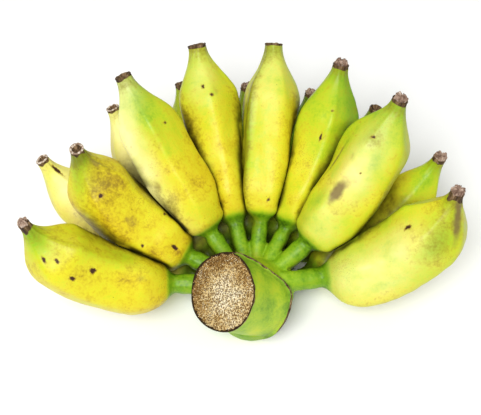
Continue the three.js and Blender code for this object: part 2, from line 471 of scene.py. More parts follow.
@dataclass(frozen=True)
class PeelFinish:
    """Waxy banana peel, a living skin turning from green to yellow.

    Chlorophyll fades unevenly, so the colour runs from leaf green at the pedicel through lime to yellow and
    gold. The skin has fine lengthwise fibres, brown freckles and a thin wax that gives a broad soft gloss.
    """

    name: str
    freckle_pitch: float = 3.4 * MM
    freckle_size: float = 0.55 * MM
    stipple_pitch: float = 1.15 * MM
    fibre_width: float = 0.9
    roughness: float = 0.43

    GREEN_TO_GOLD = {
        0.0: "#3c5c08",
        0.16: "#6b980c",
        0.34: "#93b61c",
        0.52: "#bac921",
        0.7: "#d6ce24",
        0.84: "#d6c01c",
        1.0: "#c0961a",
    }

    def living(self, s: Shader, uneven: Unevenness) -> Socket:
        """Colours the sound skin by ripeness, by wax bloom with painted highlight and by tarnish with painted
        shade.

        Args:
            s: The material's shader.
            uneven: Its noises.

        Returns:
            The colour.
        """
        # Blotches of all sizes move the ripeness a little, so no stretch is one flat colour.
        ripeness = s.plus(uneven.cloud, 0.46, s.attribute("ripeness"))
        ripeness = s.plus(s.math("ADD", uneven.mottle, uneven.grit), 0.3, ripeness)
        ripeness = s.plus(s.math("SUBTRACT", uneven.fibres, 0.5), 0.06, ripeness)
        colour = s.ramp(ripeness, self.GREEN_TO_GOLD)
        # Wax bloom and thin skin over the flattest faces look pale and creamy; the same cream is painted
        # highlight where light washes the skin out.
        patchy = s.plus(uneven.cloud, 1.6, 0.9)
        colour = s.mix(s.times(s.attribute("bloom"), patchy), colour, "#f6f1a8")
        # Age and handling leave an olive tarnish that gathers in clouds, less of it under the bloom; the same
        # olive is also painted shade on sides that lie in shade.
        tarnish_and_shade = s.plus(s.attribute("bloom"), -0.3, s.attribute("age"))
        tarnish_and_shade = s.plus(uneven.cloud, 1.0, tarnish_and_shade)
        tarnish_and_shade = s.plus(uneven.grit, 0.9, tarnish_and_shade)
        tarnish_and_shade = s.plus(uneven.mottle, 0.95, tarnish_and_shade)
        return s.mix(s.times(s.ease(tarnish_and_shade, 0.0, 1.05), 0.8), colour, "#6d640e")

    def injured(self, s: Shader, uneven: Unevenness, colour: Socket,
                blemish: Socket) -> Socket:
        """Adds bruises, blemishes and the painted shade of the nooks.

        Args:
            s: The material's shader.
            uneven: Its noises.
            colour: The colour so far.
            blemish: How strongly each place is blemished.

        Returns:
            The colour.
        """
        # A rub or knock browns in a ragged cloud with a darker heart.
        bruise = s.plus(uneven.mottle, 0.7, s.attribute("bruise"))
        colour = s.mix(s.times(s.ease(bruise, 0.2, 1.0), 0.85), colour, "#6a5238")
        colour = s.mix(s.times(s.ease(blemish, 0.22, 0.5), 0.6), colour, "#9a7420")
        colour = s.mix(s.ease(blemish, 0.42, 0.72), colour, "#3d2210")
        # Painted shade: the skin darkens in the nooks between the fingers and pedicels, as far as other fruit
        # shuts it in.
        nook = s.plus(uneven.mottle, 0.4, s.attribute("nook"))
        return s.mix(s.times(s.ease(nook, 0.3, 0.95), 0.86), colour, "#2f2a06")

    def freckles(self, s: Shader, position: Socket) -> Socket:
        """Where freckles are: one small speck in some cells of a jumbled grid."""
        cells = s.add("ShaderNodeTexVoronoi", {"Vector": position, "Scale": 1 / self.freckle_pitch})
        chance = s.add("ShaderNodeSeparateColor", {"Color": cells.outputs["Color"]}).outputs[0]
        luck = s.math("SUBTRACT", chance, s.attribute("clean"))
        reach = s.times(luck, self.freckle_size / self.freckle_pitch * 2)
        return s.ease(s.math("SUBTRACT", cells.outputs["Distance"], reach), 0.03, -0.06)

    def stipple(self, s: Shader, position: Socket) -> Socket:
        """Where rubbed places are peppered with the finest dots."""
        pepper = s.add("ShaderNodeTexVoronoi", {"Vector": position, "Scale": 1 / self.stipple_pitch})
        rubbed = s.ease(s.noise(position, 17 * MM, 3.0), 0.5, 0.68)
        return s.times(s.ease(pepper.outputs["Distance"], 0.3, 0.16), rubbed)

    def cork(self, s: Shader, uneven: Unevenness) -> Socket:
        """The colour of dead skin: cork brown, paler where it has split and where the flower tore away."""
        cork = s.ramp(uneven.fibres, {0.3: "#2c1d10", 0.5: "#5d4629", 0.68: "#94795a"})
        torn = s.ramp(uneven.grit, {-0.3: "#8d7561", 0.0: "#c9b7a2", 0.3: "#efe6d6"})
        pale = s.plus(uneven.grit, 0.8, s.attribute("pale"))
        return s.mix(s.ease(pale, 0.35, 0.65), cork, torn)

    def build(self) -> bpy.types.Material:
        """Makes the material.

        Returns:
            A peel that reads these attributes of its mesh: ripeness, the wax bloom with painted highlight,
            the age tarnish with painted shade, the painted shade of the nooks, bruise, blemish, dry, pale,
            clean and grain.
        """
        s = Shader(self.name)
        position = s.position()
        cloud = s.math("SUBTRACT", s.noise(position, 8 * MM, 5.0), 0.5)
        mottle = s.math("SUBTRACT", s.noise(position, 2.4 * MM, 4.0), 0.5)
        grit = s.math("SUBTRACT", s.noise(position, 0.8 * MM, 3.0), 0.5)
        fibres = s.noise(s.place("grain"), self.fibre_width, 2.0)
        uneven = Unevenness(cloud, mottle, grit, fibres)
        blemish = s.plus(s.math("ADD", mottle, grit), 0.8, s.attribute("blemish"))
        colour = self.injured(s, uneven, self.living(s, uneven), blemish)
        freckles = self.freckles(s, position)
        colour = s.mix(s.times(freckles, 0.75), colour, "#573a12")
        colour = s.mix(s.times(self.stipple(s, position), 0.5), colour, "#6f5a17")
        dry = s.ease(s.plus(mottle, 0.9, s.attribute("dry")), 0.4, 0.7)
        colour = s.mix(dry, colour, self.cork(s, uneven))
        rough = s.plus(s.math("ADD", mottle, cloud), 0.2, self.roughness)
        rough = s.plus(s.ease(blemish, 0.3, 0.8), 0.2, rough)
        rough = s.plus(dry, 0.35, rough)
        relief = s.times(s.noise(position, 1.1 * MM, 3.0), 0.5)
        relief = s.plus(fibres, 0.5, relief)
        relief = s.math("SUBTRACT", relief, s.times(freckles, 0.25))
        relief = s.plus(s.times(dry, fibres), 2.0, relief)
        return s.finish(colour, rough, relief, 0.24 * MM, 0.75, IOR=1.45, Specular_IOR_Level=0.34)


@dataclass(frozen=True)
class CutStalkFinish:
    """The sawn end of the stalk: tan pith packed with fibre bundles, browned outwards, black at the skin."""

    name: str = "cut banana stalk"
    bundle_pitch: float = 1.1 * MM

    def build(self) -> bpy.types.Material:
        """Makes the material.

        Returns:
            A fibrous cut face that reads the attributes rim, 1 at the skin, and heart, 1 in the middle.
        """
        s = Shader(self.name)
        position, rim, heart = s.position(), s.attribute("rim"), s.attribute("heart")
        cloud = s.math("SUBTRACT", s.noise(position, 5 * MM, 4.0), 0.5)
        grit = s.math("SUBTRACT", s.noise(position, 0.6 * MM, 4.0), 0.5)
        # Each bundle of vessels is a dark dot with a pale ring of pith round it.
        cells = s.add("ShaderNodeTexVoronoi", {"Vector": position, "Scale": 1 / self.bundle_pitch})
        dots = s.ease(s.plus(grit, 0.7, cells.outputs["Distance"]), 0.62, 0.36)
        fresh = s.plus(cloud, 1.1, s.plus(grit, 1.5, heart))
        pith = s.ramp(fresh, {0.0: "#7d5c2e", 0.3: "#ad8c52", 0.6: "#d6bf8b", 1.0: "#f0e6c8"})
        colour = s.mix(s.times(dots, 0.85), pith, "#553a18")
        browned = s.plus(grit, 0.9, s.plus(cloud, 0.8, rim))
        colour = s.mix(s.ease(browned, 0.3, 0.75), colour, "#332413")
        height = s.plus(dots, -0.6, s.plus(grit, 0.8, 0.7))
        rough = s.plus(grit, 0.15, 0.8)
        return s.finish(colour, rough, height, 0.5 * MM, 0.9, IOR=1.4, Specular_IOR_Level=0.2)


@dataclass(frozen=True)
class FibreFinish:
    """Ends of the stalk's fibre bundles, torn by the knife: some straw pale, some dried brown."""

    name: str = "torn stalk fibre"

    def build(self) -> bpy.types.Material:
        """Makes the material.

        Returns:
            A dull straw with a fine grain.
        """
        s = Shader(self.name)
        grit = s.noise(s.position(), 0.9 * MM, 2.0)
        cloud = s.noise(s.position(), 6 * MM, 2.0)
        mixed = s.plus(grit, 0.7, s.times(cloud, 0.3))
        colour = s.ramp(mixed, {0.36: "#5c3c18", 0.46: "#a98246", 0.54: "#dfca96", 0.62: "#f6eed2"})
        rough = s.plus(grit, 0.15, 0.8)
        return s.finish(colour, rough, grit, 0.2 * MM, 0.6, IOR=1.4, Specular_IOR_Level=0.2)


@dataclass(frozen=True)
class WitheredFinish:
    """A flower withered to cork: grey-brown, splitting lengthwise, with no gloss at all."""

    name: str = "withered banana flower"

    def build(self) -> bpy.types.Material:
        """Makes the material.

        Returns:
            A dry fibrous brown that reads the attribute grain of its mesh.
        """
        s = Shader(self.name)
        fibres = s.noise(s.place("grain"), 0.7, 3.0)
        cloud = s.noise(s.position(), 2.2 * MM, 3.0)
        colour = s.ramp(s.plus(fibres, 0.6, s.times(cloud, 0.4)),
                        {0.3: "#38261c", 0.44: "#7a6050", 0.56: "#ad9482", 0.68: "#dacbbb"})
        rough = s.plus(cloud, 0.12, 0.82)
        return s.finish(colour, rough, fibres, 0.6 * MM, 0.9, IOR=1.4, Specular_IOR_Level=0.2)


@dataclass(frozen=True)
class FloorFinish:
    """A seamless white table: matt painted board, very slightly uneven."""

    name: str = "matt white board"

    def build(self) -> bpy.types.Material:
        """Makes the material.

        Returns:
            A near-white matt surface.
        """
        s = Shader(self.name)
        cloud = s.noise(s.position(), 0.2, 2.0)
        colour = s.ramp(cloud, {0.0: "#f6f6f5", 1.0: "#fbfbfa"})
        rough = s.plus(cloud, 0.05, 0.85)
        return s.finish(colour, rough, cloud, 0.05 * MM, 0.1, Specular_IOR_Level=0.1)


# ---------------------------------------------------------------------------------------------------------
# Fingers
# ---------------------------------------------------------------------------------------------------------


class Tint(Enum):
    """What a mark on the skin does; the value names the painted attribute that it feeds."""

    GREEN = "ripeness, down"
    GOLD = "ripeness, up"
    # Pale cream: wax bloom, and painted highlight where light washes the skin out.
    BLOOM = "bloom"
    # Olive darkening: painted shade on sides that lie in shade, fed into the tarnish of age.
    OLIVE = "age"
    BRUISE = "bruise"
    BLEMISH = "blemish"


@dataclass(frozen=True)
class Mark:
    """One soft-edged patch on a finger.

    `along` runs from 0 at the crown to 1 at the tip. `around` is in degrees from the finger's upper side,
    growing clockwise as seen from the crown. `length` and `width` are in millimetres.
    """

    tint: Tint
    along: float
    around: float
    length: float
    width: float
    strength: float = 1.0


@dataclass(frozen=True)
class Places:
    """Where points of skin lie on their finger.

    `share` is the share of the length, `angle` the turn from the upper side in radians, and `girth` the
    distance from the centre line.
    """

    share: np.ndarray
    angle: np.ndarray
    girth: np.ndarray
    length: float


@dataclass(frozen=True)
class Skin:
    """A finger's dense rows of skin, with their directions, places and nearness to an edge."""

    rows: np.ndarray
    tangent: np.ndarray
    normal: np.ndarray
    edge: np.ndarray
    places: Places

    @classmethod
    def over(cls, rows: np.ndarray, share: np.ndarray, edge: np.ndarray) -> "Skin":
        """Works out the directions and places of rows of skin.

        Args:
            rows: Positions as rows by columns by 3.
            share: Share of the length at each row.
            edge: How near an edge of the finger each column is, from 0 to 1.

        Returns:
            The skin.
        """
        centres = rows.mean(axis=1)
        tangent = np.gradient(centres, axis=0)
        tangent /= np.linalg.norm(tangent, axis=1, keepdims=True)
        crosswise = np.roll(rows, -1, axis=1) - np.roll(rows, 1, axis=1)
        normal = np.cross(crosswise, np.gradient(rows, axis=0))
        normal /= np.linalg.norm(normal, axis=2, keepdims=True)
        outward = rows - centres[:, None]
        normal *= np.sign((normal * outward).sum(axis=2, keepdims=True))
        up = np.array([0, 0, 1.0]) - tangent * tangent[:, 2:]
        up /= np.linalg.norm(up, axis=1, keepdims=True)
        side = np.cross(tangent, up)
        angle = np.arctan2((outward * side[:, None]).sum(axis=2), (outward * up[:, None]).sum(axis=2))
        length = np.linalg.norm(np.diff(centres, axis=0), axis=1).sum()
        places = Places(share[:, None], angle, np.linalg.norm(outward, axis=2), length)
        return cls(rows, tangent, normal, edge, places)

    @property
    def body(self) -> np.ndarray:
        """How much each row belongs to the plump body, away from both ends."""
        return smoothstep(0.1, 0.3, self.places.share) * smoothstep(0.99, 0.8, self.places.share)


@dataclass
class Finger:
    """One banana: a lofted skin with five soft edges, a wrinkled neck and a scarred tip."""

    name: str
    # From the pedicel, by way of the shoulder, the middle and three quarters of the length, to the tip.
    ripeness: tuple[float, float, float, float, float]
    marks: list[Mark] = field(default_factory=list)
    clean: float = 0.8
    dry_neck: float = 2.0 * MM
    pale_scar: float = 0.0
    age: float = 0.1
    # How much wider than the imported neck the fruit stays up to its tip.
    stout: float = 0.0
    # Angle from the upper side, in degrees, near which the edges are sharpest.
    crest: float = 20.0
    slot: str = "peel_yellow"

    RINGS = 150
    SIDES = 105
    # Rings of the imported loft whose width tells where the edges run.
    EDGED_RINGS = slice(5, 16)
    EDGE_WIDTH = 0.36
    RIPENESS_STATIONS = (0.16, 0.45, 0.78, 0.96)
    # Girth of the pedicel, and of the shoulder where the body has swollen out of it.
    PEDICEL_GIRTH = 8.0 * MM
    SHOULDER_GIRTH = 13.5 * MM
    # Rows beyond the last ring of skin, a rim and then a hollow scar: how far out, how wide against the neck.
    SCAR_ROWS = [(0.3, 1.04), (0.7, 1.04), (1.0, 0.97), (1.05, 0.86), (0.7, 0.76), (0.0, 0.66), (-0.7, 0.5),
                 (-0.9, 0.32), (-0.5, 0.16)]
    # How many of those rows make the rim.
    RIM_ROWS = 5
    # Rows before the first ring, tucked into the crown.
    ROOT_ROWS = [(-7.0, 0.85), (-4.5, 0.92), (-2.0, 0.975)]
    # Every how many rows and columns the nooks are measured.
    NOOK_STEP = 3

    @property
    def node(self) -> bpy.types.Object:
        """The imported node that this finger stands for."""
        return frame["nodes"][f"finger_{self.name}"]

    @property
    def seed(self) -> int:
        """A number of its own for each finger."""
        return sum(ord(letter) * (k + 3) for k, letter in enumerate(self.name))

    def plain_skin(self, rings: np.ndarray) -> Skin:
        """Draws the coarse rings out into a smooth dense skin.

        Args:
            rings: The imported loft's rings.

        Returns:
            The skin, without any relief.
        """
        share = np.linspace(0, 1, self.RINGS)
        share = 0.6 * share + 0.2 * (1 - np.cos(math.pi * share))
        columns = np.arange(self.SIDES) * FINGER_SIDES / self.SIDES
        edged = rings[self.EDGED_RINGS]
        spread = np.linalg.norm(edged - edged.mean(axis=1, keepdims=True), axis=2).mean(axis=0)
        widest = int(np.argmax([spread[k::SIDES_PER_EDGE].mean() for k in range(SIDES_PER_EDGE)]))
        half = SIDES_PER_EDGE / 2
        off_edge = np.abs((columns - widest + half) % SIDES_PER_EDGE - half)
        edge = np.exp(-((off_edge / self.EDGE_WIDTH) ** 2))
        return Skin.over(dense_rows(rings, share, columns), share, edge)

    def end_rows(self, row: np.ndarray, axis: np.ndarray, steps: list[tuple[float, float]]) -> np.ndarray:
        """Copies a row of skin outwards along an axis, shrinking it as it goes.

        Args:
            row: The row to copy.
            axis: Unit direction to go in.
            steps: Distance in millimetres and scale of each copy.

        Returns:
            The new rows.
        """
        middle = row.mean(axis=0)
        return np.array([middle + axis * (out * MM) + (row - middle) * scale for out, scale in steps])

    def marked(self, tint: Tint, places: Places) -> np.ndarray:
        """Adds up the marks of one tint.

        Args:
            tint: Which marks to add.
            places: Where the points lie.

        Returns:
            The strength of the tint at every point.
        """
        total = np.zeros_like(places.angle)
        for mark in (m for m in self.marks if m.tint is tint):
            forward = (places.share - mark.along) * places.length / (mark.length * MM)
            turn = (places.angle - math.radians(mark.around) + math.pi) % (2 * math.pi) - math.pi
            sideways = turn * places.girth / (mark.width * MM)
            total += mark.strength * np.exp(-(forward**2) - sideways**2)
        return total

    def crested(self, angle: np.ndarray) -> np.ndarray:
        """How much of the sharpest side there is at an angle from the upper side."""
        return smoothstep(0.3, 0.95, np.cos(angle - math.radians(self.crest)))

    def relief(self, skin: Skin) -> np.ndarray:
        """Works out how far the finished skin stands off the plain one.

        Args:
            skin: The plain skin.

        Returns:
            Edges, swellings, folds, dents and pits, in millimetres.
        """
        share, angle, points = skin.places.share, skin.places.angle, skin.rows / MM
        # Five edges stand proud of flattened faces, sharpest on one side and towards the tip.
        sharp = (0.55 + 0.45 * smoothstep(0.3, 0.8, share)) * (1 + 0.35 * ripple(points, 24, self.seed))
        sharp *= 0.22 + 0.78 * self.crested(angle)
        height = (1.15 * skin.edge - 0.4) * (0.12 + skin.body) * sharp
        swells = 0.45 * ripple(points, 21, self.seed + 1) + 0.12 * ripple(points, 6, self.seed + 2)
        height += skin.body * swells
        neck = smoothstep(0.86, 0.97, share) + 0.7 * smoothstep(0.13, 0.03, share)
        height += 0.16 * neck * (np.cos(9 * angle + 1.5 * ripple(points, 12, self.seed + 3)) - 0.4)
        height -= 0.5 * np.minimum(self.marked(Tint.BRUISE, skin.places), 1)
        height -= 0.25 * np.minimum(self.marked(Tint.BLEMISH, skin.places), 1)
        return height * smoothstep(0.0, 0.04, share) * smoothstep(1.0, 0.99, share)

    def shut_in(self, rows: np.ndarray, normal: np.ndarray, nooks: Nooks) -> np.ndarray:
        """Measures how shut in the skin is at some rows and columns, and fills in between them.

        Args:
            rows: The rows of skin.
            normal: Which way the skin faces.
            nooks: What does the measuring.

        Returns:
            How shut in each point is, from 0 to 1.
        """
        step = self.NOOK_STEP
        picked = nooks.shut_in(rows[::step, ::step].reshape(-1, 3), normal[::step, ::step].reshape(-1, 3))
        picked = picked.reshape(-1, self.SIDES // step)
        lengthwise = np.arange(self.RINGS) / step
        low = np.minimum(lengthwise.astype(int), len(picked) - 2)
        part = (lengthwise - low)[:, None]
        picked = picked[low] * (1 - part) + picked[low + 1] * part
        low, part = np.divmod(np.arange(self.SIDES), step)
        filled = picked[:, low] * (1 - part / step) + picked[:, (low + 1) % picked.shape[1]] * part / step
        for _ in range(4):
            filled = (filled + np.roll(filled, 1, axis=1) + np.roll(filled, -1, axis=1)) / 3
        return filled

    def with_both_ends(self, rows: np.ndarray, tangent: np.ndarray) -> np.ndarray:
        """Adds the root that is tucked into the crown, and the ragged rim and hollow scar of the tip.

        Args:
            rows: The finished rows of skin.
            tangent: Which way the finger grows at each row.

        Returns:
            All rows, from root to tip.
        """
        tip = self.end_rows(rows[-1], tangent[-1], self.SCAR_ROWS)
        ragged = ripple(tip / MM, 1.8, self.seed + 4) * np.linspace(0.1, 0.45, len(tip))[:, None]
        tip += tangent[-1] * (ragged * MM)[..., None]
        return np.concatenate([self.end_rows(rows[0], tangent[0], self.ROOT_ROWS), rows, tip])

    def padded(self, values: np.ndarray) -> np.ndarray:
        """Carries a value kept on the rows of skin over both ends."""
        before, after = len(self.ROOT_ROWS), len(self.SCAR_ROWS)
        return np.concatenate([values[:1].repeat(before, 0), values, values[-1:].repeat(after, 0)])

    def ripened(self, grid: np.ndarray, skin: Skin, places: Places, swollen: np.ndarray) -> np.ndarray:
        """Works out how ripe the skin is.

        Args:
            grid: All rows, from root to tip.
            skin: The plain skin.
            places: Where the grid's points lie.
            swollen: How far each row has swollen from pedicel to body.

        Returns:
            0 for leaf green up to 1 for gold.
        """
        ripeness = np.interp(places.share, self.RIPENESS_STATIONS, self.ripeness[1:])
        ripeness = ripeness + 0.05 * ripple(grid / MM, 30, self.seed + 5)
        # The pedicel stays green right up to the shoulder.
        ripeness = PEDICEL_RIPENESS + (ripeness - PEDICEL_RIPENESS) * swollen
        pedicel = (self.ripeness[0] - PEDICEL_RIPENESS) * (1 - swollen)
        ripeness += pedicel * smoothstep(0.0, 0.06, places.share)
        ripeness -= 0.07 * skin.edge * self.padded(skin.body) * self.crested(places.angle)
        ripeness -= 0.32 * self.marked(Tint.GREEN, places) * swollen
        return ripeness + 0.25 * self.marked(Tint.GOLD, places) * swollen

    def coats(self, grid: np.ndarray, skin: Skin, nook: np.ndarray) -> dict[str, np.ndarray]:
        """Works out everything that is painted on the skin.

        Args:
            grid: All rows, from root to tip.
            skin: The plain skin.
            nook: How shut in each point of skin is.

        Returns:
            Attribute name to its values on the grid.
        """
        bare = skin.places
        places = Places(*map(self.padded, (bare.share, bare.angle, bare.girth)), bare.length)
        girth = places.girth.mean(axis=1, keepdims=True)
        swollen = smoothstep(self.PEDICEL_GIRTH, self.SHOULDER_GIRTH, girth)
        swollen[len(swollen) // 2 :] = 1
        from_tip = (1 - places.share) * places.length
        dry = smoothstep(1.6, 0.2, from_tip / self.dry_neck + 0.35 * ripple(grid / MM, 3.0, self.seed + 6))
        first_scar_row = len(grid) - len(self.SCAR_ROWS)
        dry[first_scar_row:] = 1.0
        # Where the flower tore away, a pale ring stands round a dark hollow.
        pale = np.zeros_like(dry)
        pale[first_scar_row : first_scar_row + self.RIM_ROWS] = self.pale_scar
        across = [places.girth * np.cos(places.angle), places.girth * np.sin(places.angle)]
        along = 0.07 * places.share * places.length + np.zeros_like(dry)
        aged = self.age * swollen + 0.45 * smoothstep(16 * MM, 2 * MM, from_tip)
        return {
            "ripeness": self.ripened(grid, skin, places, swollen),
            # The bloom marks give wax bloom and painted highlight.
            "bloom": np.clip(self.marked(Tint.BLOOM, places), 0, 0.95) * swollen,
            # The olive marks add painted shade to the tarnish of age.
            "age": aged + self.marked(Tint.OLIVE, places),
            # Painted shade where other fruit shuts the skin in.
            "nook": self.padded(nook),
            "pale": pale,
            "bruise": self.marked(Tint.BRUISE, places),
            "blemish": self.marked(Tint.BLEMISH, places),
            "dry": dry,
            "clean": np.full_like(dry, self.clean),
            "grain": np.stack([*across, along], axis=-1) / MM,
        }

    def build(self, finish: bpy.types.Material, crown_middle: Vector, nooks: Nooks) -> None:
        """Makes, dresses and rides the finger.

        Args:
            finish: Its peel.
            crown_middle: Middle of the crown, which tells the finger's two ends apart.
            nooks: Tells where other fruit shuts the skin in, which sets its painted shade.
        """
        skin = self.plain_skin(recover_rings(self.node, FINGER_SIDES, crown_middle))
        stouter = self.stout * smoothstep(0.7, 0.9, skin.places.share)
        rows = skin.rows + skin.normal * (self.relief(skin) * MM + stouter)[..., None]
        rows[..., 2] = np.maximum(rows[..., 2], 0)
        grid = self.with_both_ends(rows, skin.tangent)
        mesh = grid_mesh(f"finger_{self.name}", grid)
        for name, values in self.coats(grid, skin, self.shut_in(rows, skin.normal, nooks)).items():
            paint(mesh, name, with_ends(values))
        piece = add_object(f"banana_{self.name}", mesh)
        mesh.materials.append(finish)
        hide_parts(f"finger_{self.name}")
        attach(piece, ROOT_BODY)
        log.info("%s: %d faces, %.0f mm long", piece.name, len(mesh.polygons), skin.places.length / MM)


# ---------------------------------------------------------------------------------------------------------
# Withered flowers
# ---------------------------------------------------------------------------------------------------------


def open_tree(name: str, **inputs: str) -> tuple[bpy.types.NodeTree, bpy.types.NodeOutputs]:
    """Starts a Geometry Nodes tree that gives out a mesh.

    Args:
        name: The tree's name.
        **inputs: Kind of each of its inputs, such as Float.

    Returns:
        The tree, and what its inputs give.
    """
    tree = bpy.data.node_groups.new(name, "GeometryNodeTree")
    for title, kind in inputs.items():
        tree.interface.new_socket(name=title, in_out="INPUT", socket_type=f"NodeSocket{kind}")
    tree.interface.new_socket(name="Geometry", in_out="OUTPUT", socket_type="NodeSocketGeometry")
    return tree, add_node(tree, "NodeGroupInput").outputs


def close_tree(tree: bpy.types.NodeTree, placed: bpy.types.Node, finish: bpy.types.Material) -> None:
    """Ends a Geometry Nodes tree: turns its instances into mesh and gives them their finish.

    Args:
        tree: The tree.
        placed: Its node that places the instances.
        finish: What the instances are made of.
    """
    real = add_node(tree, "GeometryNodeRealizeInstances", {"Geometry": placed.outputs["Instances"]})
    inputs = {"Geometry": real.outputs["Geometry"], "Material": finish}
    dressed = add_node(tree, "GeometryNodeSetMaterial", inputs)
    add_node(tree, "NodeGroupOutput", {"Geometry": dressed.outputs["Geometry"]})


def shred_ring_tree(finish: bpy.types.Material) -> bpy.types.NodeTree:
    """Geometry Nodes for a ring of dry pointed shreds, such as the remains of petals.

    Args:
        finish: What the shreds are made of.

    Returns:
        A tree with the inputs Count, Radius, Length, Width and Seed.
    """
    inputs = {"Count": "Int", "Radius": "Float", "Length": "Float", "Width": "Float", "Seed": "Int"}
    tree, given = open_tree("petal_shreds", **inputs)
    circle = add_node(tree, "GeometryNodeMeshCircle", {"Vertices": given["Count"], "Radius": given["Radius"]})
    shred = add_node(tree, "GeometryNodeMeshCone", {
        "Vertices": 6, "Side Segments": 4, "Radius Top": 0.12 * MM, "Radius Bottom": given["Width"],
        "Depth": given["Length"]})
    lean = add_node(tree, "FunctionNodeRandomValue", {
        "Min": (-0.9, -0.9, 0.0), "Max": (0.9, 0.9, 6.28), "Seed": given["Seed"]}, data_type="FLOAT_VECTOR")
    size = add_node(tree, "FunctionNodeRandomValue", {
        "Min": (0.6, 0.6, 0.35), "Max": (1.5, 0.9, 1.15), "Seed": given["Seed"]}, data_type="FLOAT_VECTOR")
    placed = add_node(tree, "GeometryNodeInstanceOnPoints", {
        "Points": circle.outputs["Mesh"], "Instance": shred.outputs["Mesh"],
        "Rotation": lean.outputs["Value"], "Scale": size.outputs["Value"]})
    close_tree(tree, placed, finish)
    return tree


def run_tree(name: str, source: bpy.types.Mesh, tree: bpy.types.NodeTree, values: dict) -> bpy.types.Mesh:
    """Runs a Geometry Nodes tree on a mesh and gives back the plain result.

    Args:
        name: Name of the new mesh.
        source: Mesh that the tree starts from.
        tree: The tree.
        values: Input name to value.

    Returns:
        The mesh that the tree made.
    """
    carrier = bpy.data.objects.new(name, source)
    bpy.context.scene.collection.objects.link(carrier)
    modifier = carrier.modifiers.new("tree", "NODES")
    modifier.node_group = tree
    for item in tree.interface.items_tree:
        if item.in_out == "INPUT" and item.name in values:
            modifier[item.identifier] = values[item.name]
    bpy.context.view_layer.update()
    evaluated = carrier.evaluated_get(bpy.context.evaluated_depsgraph_get())
    mesh = bpy.data.meshes.new_from_object(evaluated)
    mesh.name = name
    carrier.modifiers.remove(modifier)
    bpy.data.objects.remove(carrier)
    return mesh


@dataclass
class FlowerRemnant:
    """The withered flower on a fingertip: a folded corky plug with a crown of petal shreds."""

    name: str
    girth: float = 1.0
    shreds: int = 7
    shred_length: float = 0.9 * MM

    RINGS = 44
    SIDES = 60
    # How far the plug reaches back into the hollow of the scar.
    BACK = 1.2 * MM
    # Rows of the hollow top, as in the base of a flower: how far out from the rim, and how wide against it.
    CUP = [(0.2, 0.8), (-0.3, 0.6), (-0.7, 0.4), (-0.8, 0.2)]

    @property
    def seed(self) -> int:
        """A number of its own for each remnant."""
        return sum(map(ord, self.name))

    def folded(self, rows: np.ndarray, share: np.ndarray, axis: np.ndarray) -> np.ndarray:
        """Folds the plug lengthwise, tears its end, and lets the top fall in a little.

        Args:
            rows: The plug's smooth rows.
            share: Share of the height at each row, as a column.
            axis: Unit direction it stands in.

        Returns:
            The folded rows, and after them those of the hollow top.
        """
        middle = rows.mean(axis=1, keepdims=True)
        outward = rows - middle
        angle = 2 * math.pi * np.arange(self.SIDES)[None] / self.SIDES
        folds = 1 + 0.1 * np.cos(5 * angle + self.seed)
        folds = folds + 0.07 * np.cos(11 * angle + 2 * self.seed + 3 * share)
        folds *= self.girth * (0.94 + 0.1 * ripple(rows / MM, 1.6, self.seed))
        rows = middle + outward * folds[..., None]
        ragged = share**2 * (0.9 * ripple(rows / MM, 1.5, self.seed + 1) - 0.5)
        rows += axis * ((ragged - self.BACK / MM * (1 - share)) * MM)[..., None]
        rim, rim_middle = rows[-1], rows[-1].mean(axis=0)
        top = [rim_middle + (rim - rim_middle) * scale + axis * (out * MM) for out, scale in self.CUP]
        return np.concatenate([rows, top])

    def grain(self, grid: np.ndarray, radius: float) -> np.ndarray:
        """Unrolls the plug for its finish, whose fibres run lengthwise.

        Args:
            grid: The plug's rows.
            radius: How thick it is.

        Returns:
            A vector at every point, in millimetres.
        """
        turn = np.broadcast_to(2 * math.pi * np.arange(self.SIDES) / self.SIDES, grid.shape[:2])
        rise = np.broadcast_to(np.arange(len(grid))[:, None] * 0.04, grid.shape[:2])
        return np.stack([radius * np.cos(turn) / MM, radius * np.sin(turn) / MM, rise], axis=-1)

    def build(self, finish: bpy.types.Material, tree: bpy.types.NodeTree, crown_middle: Vector) -> None:
        """Makes, dresses and rides the plug and its shreds.

        Args:
            finish: Their cork.
            tree: Geometry Nodes that make the shreds.
            crown_middle: Middle of the crown, which tells the two ends apart.
        """
        rings = recover_rings(frame["nodes"][f"flower_remnant_{self.name}"], REMNANT_SIDES, crown_middle)
        axis = rings[-1].mean(axis=0) - rings[0].mean(axis=0)
        axis /= np.linalg.norm(axis)
        share = np.linspace(0, 1, self.RINGS)
        rows = dense_rows(rings, share, np.arange(self.SIDES) * REMNANT_SIDES / self.SIDES)
        radius = self.girth * np.linalg.norm(rows - rows.mean(axis=1, keepdims=True), axis=2).mean()
        grid = self.folded(rows, share[:, None], axis)
        mesh = grid_mesh(f"flower_remnant_{self.name}", grid)
        paint(mesh, "grain", with_ends(self.grain(grid, radius)))
        plug = add_object(f"withered_flower_{self.name}", mesh)
        mesh.materials.append(finish)
        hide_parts(f"flower_remnant_{self.name}")

        values = {"Count": self.shreds, "Radius": radius * 0.75, "Length": self.shred_length,
                  "Width": 0.5 * MM, "Seed": self.seed}
        ring = run_tree(f"shreds_{self.name}", bpy.data.meshes.new("empty"), tree, values)
        turned = Vector((0, 0, 1)).rotation_difference(Vector(axis)).to_matrix().to_4x4()
        foot = grid[self.RINGS - 1].mean(axis=0) - axis * 0.4 * MM
        ring.transform(Matrix.Translation(Vector(foot)) @ turned)
        paint(ring, "grain", np.array([v.co[:] for v in ring.vertices]) / MM)
        shreds = add_object(f"petal_shreds_{self.name}", ring)
        for piece in (plug, shreds):
            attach(piece, ROOT_BODY)
        log.info("%s: %d faces", plug.name, len(mesh.polygons) + len(ring.polygons))


# ---------------------------------------------------------------------------------------------------------
# Crown
# ---------------------------------------------------------------------------------------------------------


